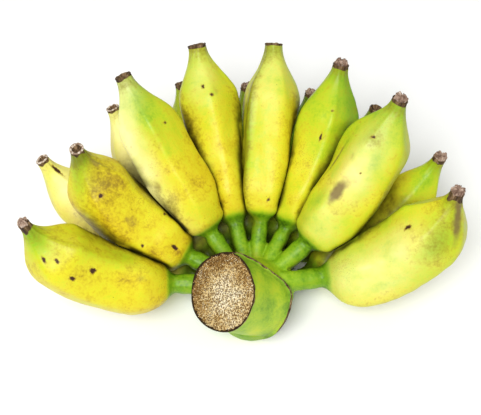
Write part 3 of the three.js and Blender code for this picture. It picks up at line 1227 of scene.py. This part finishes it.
def fibre_tree(finish: bpy.types.Material) -> bpy.types.NodeTree:
    """Geometry Nodes that stud a face with torn fibre ends, fewer of them towards its rim.

    Args:
        finish: What the fibre ends are made of.

    Returns:
        A tree with the inputs Face, Spacing, Size and Seed.
    """
    tree, given = open_tree("fibre_ends", Face="Geometry", Spacing="Float", Size="Float", Seed="Int")
    rim = add_node(tree, "GeometryNodeInputNamedAttribute", {"Name": "rim"}, data_type="FLOAT")
    inner = add_node(tree, "ShaderNodeMath", {0: 1.0, 1: rim.outputs["Attribute"]}, operation="SUBTRACT")
    points = add_node(tree, "GeometryNodeDistributePointsOnFaces", {
        "Mesh": given["Face"], "Distance Min": given["Spacing"], "Density Max": 3e6,
        "Density Factor": inner.outputs[0], "Seed": given["Seed"]}, distribute_method="POISSON")
    bead = add_node(tree, "GeometryNodeMeshIcoSphere", {"Radius": given["Size"], "Subdivisions": 1})
    size = add_node(tree, "FunctionNodeRandomValue", {
        "Min": (0.5, 0.5, 0.4), "Max": (1.3, 1.3, 1.4), "Seed": given["Seed"]}, data_type="FLOAT_VECTOR")
    placed = add_node(tree, "GeometryNodeInstanceOnPoints", {
        "Points": points.outputs["Points"], "Instance": bead.outputs["Mesh"],
        "Rotation": points.outputs["Rotation"], "Scale": size.outputs["Value"]})
    close_tree(tree, placed, finish)
    return tree


@dataclass(frozen=True)
class Cut:
    """The flat cut through the stalk."""

    centre: np.ndarray
    facing: np.ndarray
    radius: float

    @classmethod
    def find(cls, node: bpy.types.Object) -> "Cut":
        """Finds the cut as the widest flat patch of the crown that looks upwards.

        Args:
            node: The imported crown.

        Returns:
            The cut.
        """
        welded = merged_copy(node)
        faces = [f for f in welded.faces if f.normal.z > 0.3 and f.calc_area() > 1e-7]
        normals = np.array([f.normal[:] for f in faces])
        offsets = np.array([f.normal.dot(f.calc_center_median()) for f in faces])
        areas = np.array([f.calc_area() for f in faces])
        level = (normals @ normals.T > 0.9999) & (np.abs(offsets[:, None] - offsets[None]) < 0.05 * MM)
        patch = level[np.argmax(level @ areas)]
        facing = (normals[patch] * areas[patch, None]).sum(axis=0)
        facing /= np.linalg.norm(facing)
        corners = {v.index: v.co[:] for f, used in zip(faces, patch) if used for v in f.verts}
        welded.free()
        corners = np.array(list(corners.values()))
        centre = (corners.max(axis=0) + corners.min(axis=0)) / 2
        centre -= facing * ((centre - corners[0]) @ facing)
        return cls(centre, facing, np.linalg.norm(corners - centre, axis=1).max())

    def measure(self, points: np.ndarray) -> tuple[np.ndarray, np.ndarray]:
        """Tells how deep behind the cut, and how far from the stalk's axis, points are."""
        offset = points - self.centre
        depth = -(offset @ self.facing)
        return depth, np.linalg.norm(offset + depth[..., None] * self.facing, axis=-1)


@dataclass
class CrownBody:
    """The cushion and the pedicel stubs, melted together as living tissue is."""

    voxel: float = 0.95 * MM
    smoothing: int = 12
    leanness: float = 4.5 * MM

    # The pedicels are carried this far past the stubs, tapering inside the fingers' own skin.
    SLEEVE = [(-3.0, 0.985), (0.0, 0.985), (3.0, 0.965), (6.0, 0.93), (8.0, 0.9)]
    # Between these distances from the middle of the crown, the cushion gives way to separate pedicels.
    PEDICELS_FROM = (22 * MM, 36 * MM)

    def melt(self, fingers: list[Finger], middle: Vector) -> bpy.types.Mesh:
        """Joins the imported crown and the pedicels' sleeves into one skin with webs and fillets.

        Args:
            fingers: All the fingers.
            middle: Middle of the crown.

        Returns:
            A closed, evenly meshed body.
        """
        joined = merged_copy(frame["nodes"]["crown"])
        for finger in fingers:
            rings = recover_rings(finger.node, FINGER_SIDES, middle)
            axis = rings[1].mean(axis=0) - rings[0].mean(axis=0)
            axis /= np.linalg.norm(axis)
            joined.from_mesh(grid_mesh("sleeve", finger.end_rows(rings[0], axis, self.SLEEVE)))
        mesh = bpy.data.meshes.new("crown_body")
        joined.to_mesh(mesh)
        joined.free()
        carrier = bpy.data.objects.new("crown_body", mesh)
        bpy.context.scene.collection.objects.link(carrier)
        remesh = carrier.modifiers.new("voxels", "REMESH")
        remesh.mode, remesh.voxel_size, remesh.adaptivity = "VOXEL", self.voxel, 0.0
        smooth = carrier.modifiers.new("smooth", "SMOOTH")
        smooth.factor, smooth.iterations = 0.6, self.smoothing
        evaluated = carrier.evaluated_get(bpy.context.evaluated_depsgraph_get())
        melted = bpy.data.meshes.new_from_object(evaluated)
        carrier.modifiers.clear()
        bpy.data.objects.remove(carrier)
        return melted

    def leaner(self, points: np.ndarray, normal: np.ndarray, offset: np.ndarray) -> np.ndarray:
        """Draws the cushion in on the side below the stalk, between its foot and the last pedicel.

        Args:
            points: The body's points.
            normal: Which way it faces there.
            offset: The points from the middle of the crown.

        Returns:
            The new points.
        """
        lean = smoothstep(6 * MM, 20 * MM, offset[:, 0]) * smoothstep(6 * MM, -8 * MM, offset[:, 1])
        lean *= smoothstep(34 * MM, 24 * MM, points[:, 2]) * smoothstep(0, 3 * MM, points[:, 2])
        return points - normal * (self.leanness * lean)[:, None]

    def tucked(self, points: np.ndarray, cut: Cut) -> np.ndarray:
        """Keeps the body well below the skin of the stalk's end, and on the table.

        Args:
            points: The body's points.
            cut: The cut, which nothing here stands above.

        Returns:
            The new points.
        """
        depth, radial = cut.measure(points)
        axis_point = cut.centre - depth[:, None] * cut.facing
        under = smoothstep(cut.radius + 2.6 * MM, cut.radius + 0.6 * MM, radial)
        under *= smoothstep(36 * MM, 30 * MM, depth)
        inwards = under * 1.3 * MM / np.maximum(radial, 1 * MM)
        points = points + (axis_point - points) * inwards[:, None]
        beyond = np.maximum(radial - cut.radius - 1 * MM, 0)
        points -= cut.facing * np.maximum(0.5 * MM - 0.8 * beyond - depth, 0)[:, None]
        points[:, 2] = np.maximum(points[:, 2], 0)
        return points

    def coats(self, points: np.ndarray, offset: np.ndarray, reach: np.ndarray,
              far: np.ndarray) -> dict[str, np.ndarray]:
        """Works out what is painted on the body, apart from the painted shade of its nooks.

        Args:
            points: The body's points.
            offset: The points from the middle of the crown.
            reach: How far out from the middle they lie.
            far: How much of a pedicel they belong to, from 0 to 1.

        Returns:
            Attribute name to its value at every point.
        """
        near = (1 - far) * (0.1 + 0.06 * ripple(points / MM, 14, 83))
        # The foot under the stalk is as light as the stalk's own end.
        near += 0.13 * smoothstep(-12 * MM, -24 * MM, offset[:, 1]) * (1 - far)
        # Fibres run outwards along the pedicels.
        heading = np.arctan2(offset[:, 0], offset[:, 1])
        nothing = dict.fromkeys(("bloom", "bruise", "blemish", "dry", "pale"), np.zeros(len(points)))
        return nothing | {
            "ripeness": PEDICEL_RIPENESS + near,
            "age": 0.12 * far,
            "clean": np.full(len(points), 0.9),
            "grain": np.stack([heading * 35, points[:, 2] / MM, 0.08 * reach / MM], axis=1),
        }

    def build(self, fingers: list[Finger], middle: Vector, cut: Cut, skin: bpy.types.Material,
              nooks: Nooks) -> None:
        """Makes, dresses and rides the body.

        Args:
            fingers: All the fingers, whose pedicels it carries on.
            middle: Middle of the crown.
            cut: The cut, which nothing here stands above.
            skin: Its green skin.
            nooks: Tells where the pedicels and fingers shut the skin in, which sets its painted shade.
        """
        mesh = self.melt(fingers, middle)
        points, normal = np.empty((2, len(mesh.vertices) * 3))
        mesh.vertices.foreach_get("co", points)
        mesh.vertices.foreach_get("normal", normal)
        points, normal = points.reshape(-1, 3), normal.reshape(-1, 3)
        reach = np.linalg.norm((points - np.array(middle))[:, :2], axis=1)
        far = smoothstep(*self.PEDICELS_FROM, reach)
        low = smoothstep(0.4 * MM, 3 * MM, points[:, 2]) * (1 - far)
        points = points + normal * ((0.35 * ripple(points / MM, 15, 82) + 0.3) * low * MM)[:, None]
        offset = points - np.array(middle)
        points = self.tucked(self.leaner(points, normal, offset), cut)
        mesh.vertices.foreach_set("co", points.ravel())
        # Painted shade: the crown darkens where the pedicels and fingers shut its skin in.
        paint(mesh, "nook", nooks.shut_in(points, normal))
        for name, values in self.coats(points, offset, reach, far).items():
            paint(mesh, name, values)
        piece = add_object("crown_body", mesh)
        mesh.materials.append(skin)
        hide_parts("crown")
        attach(piece, ROOT_BODY)
        log.info("crown body: %d faces", len(mesh.polygons))


@dataclass(frozen=True)
class Outline:
    """What the stalk's end is like at each of its sides.

    `spoke` points outwards. `scar` is the depth of the leaf scar, and `flare` how much the drum widens
    towards it.
    """

    cut: Cut
    spoke: np.ndarray
    radius: np.ndarray
    scar: np.ndarray
    flare: np.ndarray

    def row(self, depth: np.ndarray, wide: np.ndarray) -> np.ndarray:
        """A ring at the depth and the distance from the axis given for each side."""
        return self.cut.centre - np.multiply.outer(depth, self.cut.facing) + self.spoke * wide[:, None]


@dataclass
class StalkEnd:
    """The end of the stalk: a short green drum from the scar of a leaf up to the fibrous cut."""

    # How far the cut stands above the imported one, and how much wider the drum is.
    rise: float = 2.3 * MM
    proud: float = 0.7 * MM
    # Depth of the leaf scar behind the cut, where it is least and most: it runs slantwise round the stalk.
    scar_shallow: float = 3 * MM
    scar_deep: float = 35 * MM
    # How much the drum widens towards the scar on its deep side.
    flare: float = 4.4 * MM
    hollow: float = 1.0 * MM
    fibre_spacing: float = 0.8 * MM
    fibre_size: float = 0.32 * MM

    SIDES = 192
    SIDE_ROWS = 70
    CAP_ROWS = 64
    # Rows that tuck the drum's lower end into the crown: how much deeper, and how much narrower.
    TUCK = [(1.2, 5.0), (1.2, 2.6), (0.9, 1.1), (0.4, 0.25)]
    # The side where the scar is deepest: towards the front right, and down.
    SLANT = np.array([0.55, -0.78, -0.38])
    # The side where the scar has healed over and its line fades out.
    HEALED = np.array([-0.1, -0.85, -0.5])

    def outline(self, cut: Cut) -> Outline:
        """Works out the drum's shape as seen down its axis.

        Args:
            cut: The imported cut.

        Returns:
            The outline.
        """
        across = self.SLANT - cut.facing * (self.SLANT @ cut.facing)
        across /= np.linalg.norm(across)
        up = np.cross(cut.facing, across)
        turn = 2 * math.pi * np.arange(self.SIDES) / self.SIDES
        spoke = np.outer(np.cos(turn), across) + np.outer(np.sin(turn), up)
        radius = cut.radius + self.proud + 0.35 * MM * ripple(spoke * 25, 17, 91)
        radius += 0.25 * MM * np.cos(5 * turn + 1)
        slant = smoothstep(-0.95, 0.55, np.cos(turn))
        scar = self.scar_shallow + (self.scar_deep - self.scar_shallow) * slant
        scar += 1.0 * MM * ripple(spoke * 25, 14, 92)
        flare = self.flare * smoothstep(-0.2, 0.9, np.cos(turn))
        return Outline(cut, spoke, radius, scar, flare)

    def side_rows(self, outline: Outline) -> list[np.ndarray]:
        """Makes the drum's side, from the tuck in the crown by way of the leaf scar up to the rim.

        Args:
            outline: The drum's outline.

        Returns:
            The rows, the last of which is the rim.
        """
        scar, wide = outline.scar, outline.radius + outline.flare
        rows = [outline.row(scar + deeper * MM, wide - inward * MM) for deeper, inward in self.TUCK]
        for share in np.linspace(1, 0, self.SIDE_ROWS):
            depth = -self.rise + share * (scar + self.rise)
            from_scar = (scar - depth) / MM
            ridge = 0.75 * np.exp(-((from_scar / 1.1) ** 2))
            groove = 0.3 * np.exp(-(((from_scar - 3.0) / 1.6) ** 2))
            lip = 0.35 * np.exp(-(((depth + self.rise) / (0.9 * MM)) ** 2))
            waist = -0.5 * math.sin(math.pi * share)
            wide = outline.radius + outline.flare * share + (ridge - groove + lip + waist) * MM
            rows.append(outline.row(depth, wide))
        return rows

    def cap_rows(self, rim: np.ndarray, outline: Outline) -> list[np.ndarray]:
        """Makes the cut face: rows that shrink towards the middle, sunk and rough inside a narrow rim.

        Args:
            rim: The row that they start from.
            outline: The drum's outline.

        Returns:
            The rows, the outermost first.
        """
        facing = outline.cut.facing
        middle = outline.cut.centre + facing * self.rise
        rows = []
        for k in range(1, self.CAP_ROWS):
            inset = (k / self.CAP_ROWS) ** 0.85
            ring = rim + (middle - rim) * inset
            inward = inset * outline.radius / MM
            sunk = self.hollow / MM * smoothstep(0.3, 1.5, inward) - 0.25 * smoothstep(0.0, 0.3, inward)
            rough = 0.16 * ripple(ring / MM, 1.6, 71) + 0.35 * ripple(ring / MM, 9, 72)
            rough += 0.14 * ripple(ring / MM, 0.9, 73)
            rows.append(ring + np.outer(rough * smoothstep(0.6, 2.2, inward) - sunk, facing) * MM)
        return rows

    def build(self, cut: Cut, skin: bpy.types.Material, face: bpy.types.Material,
              fibre: bpy.types.Material) -> None:
        """Makes, dresses and rides the drum and the fibre ends on its cut.

        Args:
            cut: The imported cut.
            skin: Its green skin.
            face: Its cut face.
            fibre: The fibre ends.
        """
        outline = self.outline(cut)
        rows = self.side_rows(outline)
        cap_start = (len(rows) - 1) * self.SIDES
        grid = np.array(rows + self.cap_rows(rows[-1], outline))
        grid[..., 2] = np.maximum(grid[..., 2], 0)
        mesh = grid_mesh("stalk_end", grid)
        mesh.materials.append(skin)
        mesh.materials.append(face)
        index = np.zeros(len(mesh.polygons), np.int32)
        index[cap_start : (len(grid) - 1) * self.SIDES] = 1
        index[-self.SIDES :] = 1
        mesh.polygons.foreach_set("material_index", index)
        self.dress(mesh, grid, outline)
        piece = add_object("stalk_end", mesh)
        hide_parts("crown")
        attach(piece, ROOT_BODY)
        self.stud(mesh, fibre)
        log.info("stalk end: %d faces", len(mesh.polygons))

    def stud(self, mesh: bpy.types.Mesh, fibre: bpy.types.Material) -> None:
        """Puts torn fibre ends on the cut face.

        Args:
            mesh: The drum.
            fibre: What the fibre ends are made of.
        """
        disc = bmesh.new()
        disc.from_mesh(mesh)
        bmesh.ops.delete(disc, geom=[f for f in disc.faces if f.material_index == 0], context="FACES")
        disc_mesh = bpy.data.meshes.new("cut_face")
        disc.to_mesh(disc_mesh)
        disc.free()
        values = {"Spacing": self.fibre_spacing, "Size": self.fibre_size, "Seed": 5}
        ends = add_object("fibre_ends", run_tree("fibre_ends", disc_mesh, fibre_tree(fibre), values))
        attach(ends, ROOT_BODY)

    def dress(self, mesh: bpy.types.Mesh, grid: np.ndarray, outline: Outline) -> None:
        """Paints the drum.

        Args:
            mesh: Its mesh.
            grid: Its rows of points.
            outline: Its outline.
        """
        cut, radius = outline.cut, outline.radius
        depth, radial = cut.measure(grid)
        on_cap = np.arange(len(grid))[:, None] >= len(self.TUCK) + self.SIDE_ROWS
        side = np.broadcast_to(~on_cap, depth.shape).astype(float)
        above_scar = (outline.scar - depth) / MM
        below_cut = (depth + self.rise) / MM
        uneven = ripple(grid / MM, 3.5, 84)
        outward = grid - cut.centre + depth[..., None] * cut.facing
        healed = smoothstep(0.6, 0.93, outward @ self.HEALED / np.maximum(radial, 1 * MM))
        scarred = smoothstep(1.5, 0.8, above_scar + 0.35 * uneven) * side * (1 - healed)
        browned = smoothstep(1.5, 0.5, below_cut + 0.5 * uneven) * side
        height = np.clip(above_scar / 20, 0, 1)
        ripeness = 0.2 + 0.12 * height + 0.09 * ripple(grid / MM, 11, 83)
        zero = np.zeros_like(ripeness)
        paint(mesh, "nook", with_ends(zero))
        paint(mesh, "ripeness", with_ends(ripeness))
        paint(mesh, "bloom", with_ends(0.04 * side))
        paint(mesh, "age", with_ends(0.25 * smoothstep(6, 1, below_cut) * side))
        paint(mesh, "dry", with_ends(np.maximum(scarred, browned)))
        paint(mesh, "pale", with_ends(0.12 * scarred * smoothstep(1.3, 0.4, above_scar)))
        for name in ("bruise", "blemish"):
            paint(mesh, name, with_ends(zero))
        paint(mesh, "clean", with_ends(zero + 0.86))
        paint(mesh, "grain", with_ends((grid - cut.centre) * (1, 1, 0.35) / MM))
        # The dark skin line at the rim is uneven, and the pith browns more away from the deep scar.
        from_rim = (radius - radial) / MM + 0.45 * ripple(grid / MM, 4, 86)
        from_rim += 0.3 * ripple(grid / MM, 1.5, 87)
        paint(mesh, "rim", with_ends(np.where(on_cap, smoothstep(1.6, 0.5, from_rim), 1.0)))
        towards_scar = (grid - cut.centre) @ self.SLANT / radius
        heart = smoothstep(1.0, 0.05, radial / radius) * 0.68 + 0.34 * towards_scar + 0.2
        paint(mesh, "heart", with_ends(np.clip(heart, 0, 1)))


# ---------------------------------------------------------------------------------------------------------
# Studio
# ---------------------------------------------------------------------------------------------------------


@dataclass
class Studio:
    """A white table, a large soft light from the upper left and a camera looking down on the hand."""

    elevation: float = 57.0
    distance: float = 0.65
    # The camera aims a little off the middle of the box, so the hand sits left and high in the frame.
    aim_offset: Vector = field(default_factory=lambda: Vector((-0.0038, -0.0178, -0.0024)))
    lens: float = 73.0
    sensor: float = 36.0

    def build(self, finish: bpy.types.Material) -> None:
        """Makes the floor, the lights, the world and the camera.

        Args:
            finish: The floor's.
        """
        floor = bpy.data.meshes.new("table")
        reach, under = 3.0, -0.4 * MM
        signs = ((-1, -1), (1, -1), (1, 1), (-1, 1))
        corners = [(right * reach, back * reach, under) for right, back in signs]
        floor.from_pydata(corners, [], [(0, 1, 2, 3)])
        table = add_object("table", floor)
        floor.materials.append(finish)

        low, high = (Vector(c) for c in CAD_BOUNDS)
        middle = (low + high) / 2
        self.light("key", Vector((-0.3, -0.85, 1.35)), middle, 0.8, 28.0)
        self.light("fill", Vector((1.1, -0.3, 0.8)), middle, 1.0, 1.5)
        self.light("back", Vector((0.1, 0.95, 1.1)), middle, 0.9, 4.0)

        world = bpy.data.worlds.new("white room")
        world.use_nodes = True
        world.node_tree.nodes["Background"].inputs["Color"].default_value = linear("#ffffff")
        world.node_tree.nodes["Background"].inputs["Strength"].default_value = 0.32
        bpy.context.scene.world = world
        bpy.context.scene.view_settings.view_transform = "Standard"

        camera = bpy.data.cameras.new("camera")
        camera.lens, camera.sensor_width, camera.clip_start = self.lens, self.sensor, 0.01
        viewer = bpy.data.objects.new("camera", camera)
        tilt = math.radians(self.elevation)
        aim = middle + self.aim_offset
        viewer.location = aim + Vector((0, -math.cos(tilt), math.sin(tilt))) * self.distance
        viewer.rotation_euler = (math.pi / 2 - tilt, 0, 0)
        bpy.context.scene.collection.objects.link(viewer)
        bpy.context.scene.camera = viewer

    def light(self, name: str, offset: Vector, aim: Vector, size: float, power: float) -> None:
        """Hangs one square soft light.

        Args:
            name: Its name.
            offset: Where it hangs, from the middle of the hand.
            aim: What it points at.
            size: Its side.
            power: Its power, in watts.
        """
        lamp = bpy.data.lights.new(name, "AREA")
        lamp.shape, lamp.size, lamp.energy = "SQUARE", size, power
        holder = bpy.data.objects.new(name, lamp)
        holder.location = aim + offset
        holder.rotation_euler = (-offset).to_track_quat("-Z", "Y").to_euler()
        bpy.context.scene.collection.objects.link(holder)


# ---------------------------------------------------------------------------------------------------------
# The hand
# ---------------------------------------------------------------------------------------------------------


def hand_of_fingers() -> list[Finger]:
    """Lists every finger with its ripeness from pedicel to tip and its marks; bloom marks are wax bloom and
    painted highlight, olive marks painted shade.
    """
    green, gold, bloom, bruise, spot, olive_shade = (
        Tint.GREEN, Tint.GOLD, Tint.BLOOM, Tint.BRUISE, Tint.BLEMISH, Tint.OLIVE)
    return [
        Finger("front_1", (0.14, 0.74, 0.78, 0.7, 0.56), [
            Mark(green, 0.42, 17, 18, 10, 0.8), Mark(green, 0.92, -46, 10, 9, 0.7),
            Mark(gold, 0.14, 0, 10, 22, 0.5), Mark(spot, 0.6, -28, 3.2, 2.4),
            Mark(spot, 0.84, -66, 2.2, 1.3), Mark(spot, 0.8, -45, 2.0, 1.2),
            Mark(spot, 0.68, -55, 3.2, 1.6), Mark(bruise, 0.3, -20, 7, 3, 0.5),
            Mark(olive_shade, 0.78, 0, 40, 16, 0.25), Mark(olive_shade, 0.35, 25, 34, 12, 0.25)],
            clean=0.68, dry_neck=4 * MM, age=0.07, stout=-0.7 * MM, crest=5),
        Finger("front_2", (0.14, 0.82, 0.86, 0.88, 0.68), [
            Mark(gold, 0.86, -2, 14, 10, 0.35), Mark(olive_shade, 0.85, -30, 26, 16, 0.5),
            Mark(bruise, 0.9, 10, 5, 3, 0.8), Mark(green, 0.84, -92, 22, 8),
            Mark(green, 0.97, 0, 6, 20, 0.8), Mark(spot, 0.76, -44, 2.0, 1.8, 0.9),
            Mark(spot, 0.34, -54, 1.6, 1.6, 0.9), Mark(bruise, 0.5, -33, 10, 6, 0.5),
            Mark(spot, 0.16, -24, 3.6, 1.4), Mark(spot, 0.34, 15, 1.8, 1.5, 0.8)],
            clean=0.64, pale_scar=1.0, age=0.11, crest=55),
        Finger("front_3", (0.12, 0.84, 0.8, 0.58, 0.4), [
            Mark(bloom, 0.62, -82, 46, 12, 1.2), Mark(olive_shade, 0.3, -62, 14, 7, 0.6),
            Mark(bruise, 0.42, -62, 9, 4, 0.6), Mark(spot, 0.71, 17, 1.4, 1.4, 0.8),
            Mark(green, 0.87, 0, 18, 14, 0.4)],
            clean=0.7, age=0.12, dry_neck=1.2 * MM, stout=1.0 * MM, crest=-58),
        Finger("front_4", (0.12, 0.78, 0.74, 0.64, 0.52), [
            Mark(spot, 0.8, -13, 1.8, 1.5, 0.9), Mark(spot, 0.75, 3, 2.0, 1.6, 0.8),
            Mark(gold, 0.59, -61, 22, 7, 0.6), Mark(olive_shade, 0.45, -68, 44, 10, 0.9),
            Mark(olive_shade, 0.6, 80, 40, 8, 0.35), Mark(bruise, 0.76, 12, 6, 4, 0.4),
            Mark(bloom, 0.84, -20, 16, 10, 0.3)],
            clean=0.7, age=0.03, dry_neck=0.9 * MM, stout=1.7 * MM, crest=75),
        Finger("front_5", (0.1, 0.78, 0.68, 0.58, 0.42), [
            Mark(gold, 0.61, 64, 30, 6, 0.7), Mark(spot, 0.17, 16, 1.6, 1.6, 0.9),
            Mark(olive_shade, 0.46, -47, 62, 4.5, 1.15), Mark(olive_shade, 0.5, 85, 40, 8, 0.4),
            Mark(bloom, 0.82, -10, 20, 12, 0.3)],
            clean=0.72, age=0.02, dry_neck=0.9 * MM, stout=1.5 * MM, crest=-65),
        Finger("front_6", (0.1, 0.68, 0.64, 0.5, 0.42), [
            Mark(spot, 0.62, 6, 4.0, 1.1), Mark(green, 0.76, 82, 34, 13, 0.6),
            Mark(olive_shade, 0.66, 88, 34, 10, 0.5), Mark(olive_shade, 0.4, -70, 36, 8, 0.5),
            Mark(spot, 0.78, 13, 1.2, 1.2, 0.7)],
            clean=0.72, age=0.06, stout=0.8 * MM, crest=62, slot="peel_green"),
        Finger("front_7", (0.1, 0.62, 0.68, 0.55, 0.44), [
            Mark(bloom, 0.6, 8, 28, 12, 0.65), Mark(gold, 0.54, 1, 13, 8, 0.5),
            Mark(bruise, 0.43, 0, 11, 4, 1.25), Mark(bruise, 0.56, -50, 22, 1.6, 0.9),
            Mark(olive_shade, 0.8, 5, 8, 6, 0.5), Mark(bruise, 0.55, 14, 9, 6, 0.35),
            Mark(spot, 0.81, 1, 1.5, 1.5, 0.8), Mark(spot, 0.6, 16, 1.4, 1.2, 0.8),
            Mark(bloom, 0.2, 19, 12, 12, 0.3), Mark(green, 0.7, 28, 9, 4, 0.6),
            Mark(green, 0.32, -22, 8, 5, 0.6), Mark(green, 0.52, 34, 12, 4, 0.5),
            Mark(green, 0.5, -30, 6, 4, 0.5), Mark(bruise, 0.66, -12, 5, 3, 0.45)],
            clean=0.68, age=0.13, stout=0.6 * MM, crest=-58, slot="peel_green"),
        Finger("front_8", (0.12, 0.58, 0.64, 0.62, 0.6), [
            Mark(green, 0.76, 47, 14, 9, 0.7), Mark(green, 0.96, 35, 14, 8, 0.4),
            Mark(bloom, 0.34, 40, 34, 18, 0.55), Mark(bloom, 0.62, 10, 20, 12, 0.4),
            Mark(gold, 0.67, 15, 9, 7, 0.35), Mark(spot, 0.72, -9, 4.4, 1.7),
            Mark(green, 0.56, 24, 10, 6, 0.5), Mark(bruise, 0.64, 22, 6, 4, 0.4),
            Mark(green, 0.4, 62, 14, 5, 0.5), Mark(bruise, 0.72, -9, 8, 4, 0.5),
            Mark(bruise, 0.89, 82, 15, 4, 1.0), Mark(olive_shade, 0.78, 50, 24, 14, 0.4)],
            clean=0.76, dry_neck=5 * MM, crest=-40, slot="peel_green"),
        Finger("back_1", (0.16, 0.62, 0.72, 0.76, 0.74), [
            Mark(bloom, 0.7, -10, 70, 22, 0.7), Mark(spot, 0.93, 5, 5, 1.4)],
            pale_scar=1.0, age=0.0),
        Finger("back_2", (0.16, 0.62, 0.7, 0.74, 0.6), [
            Mark(bloom, 0.75, -20, 60, 20, 0.75)],
            pale_scar=0.8, age=0.0),
        Finger("back_3", (0.14, 0.6, 0.64, 0.6, 0.5), [Mark(spot, 0.5, 120, 4, 2)]),
        Finger("back_4", (0.12, 0.5, 0.5, 0.42, 0.36), [Mark(bruise, 0.5, 170, 14, 6, 0.7)]),
        Finger("back_5", (0.12, 0.4, 0.3, 0.16, 0.12), slot="peel_green"),
        Finger("back_6", (0.12, 0.46, 0.46, 0.36, 0.3), [
            Mark(spot, 0.4, 150, 5, 2)],
            slot="peel_green"),
        Finger("back_7", (0.12, 0.6, 0.62, 0.62, 0.5), [
            Mark(green, 0.85, 20, 16, 6, 0.6)],
            crest=85, slot="peel_green"),
    ]


def main() -> None:
    """Builds the hand and its studio."""
    logging.basicConfig(level=logging.INFO, format="%(name)s: %(message)s")
    fingers = hand_of_fingers()
    low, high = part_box("crown")
    crown_middle = (Vector(low) + Vector(high)) / 2
    peel = {
        "peel_yellow": PeelFinish("ripening banana peel").build(),
        "peel_green": PeelFinish("green banana peel", freckle_pitch=3.8 * MM).build(),
    }
    cork = WitheredFinish().build()
    shreds = shred_ring_tree(cork)
    nooks = Nooks()
    for finger in fingers:
        finger.build(peel[finger.slot], crown_middle, nooks)
        if f"flower_remnant_{finger.name}" in frame["nodes"]:
            slender = 0.7 if finger.name == "front_1" else 0.92
            FlowerRemnant(finger.name, slender).build(cork, shreds, crown_middle)
    crown_skin = PeelFinish("banana crown skin", roughness=0.5).build()
    cut = Cut.find(frame["nodes"]["crown"])
    CrownBody().build(fingers, crown_middle, cut, crown_skin, nooks)
    StalkEnd().build(cut, crown_skin, CutStalkFinish().build(), FibreFinish().build())
    Studio().build(FloorFinish().build())


if __name__ == "__main__":
    main()
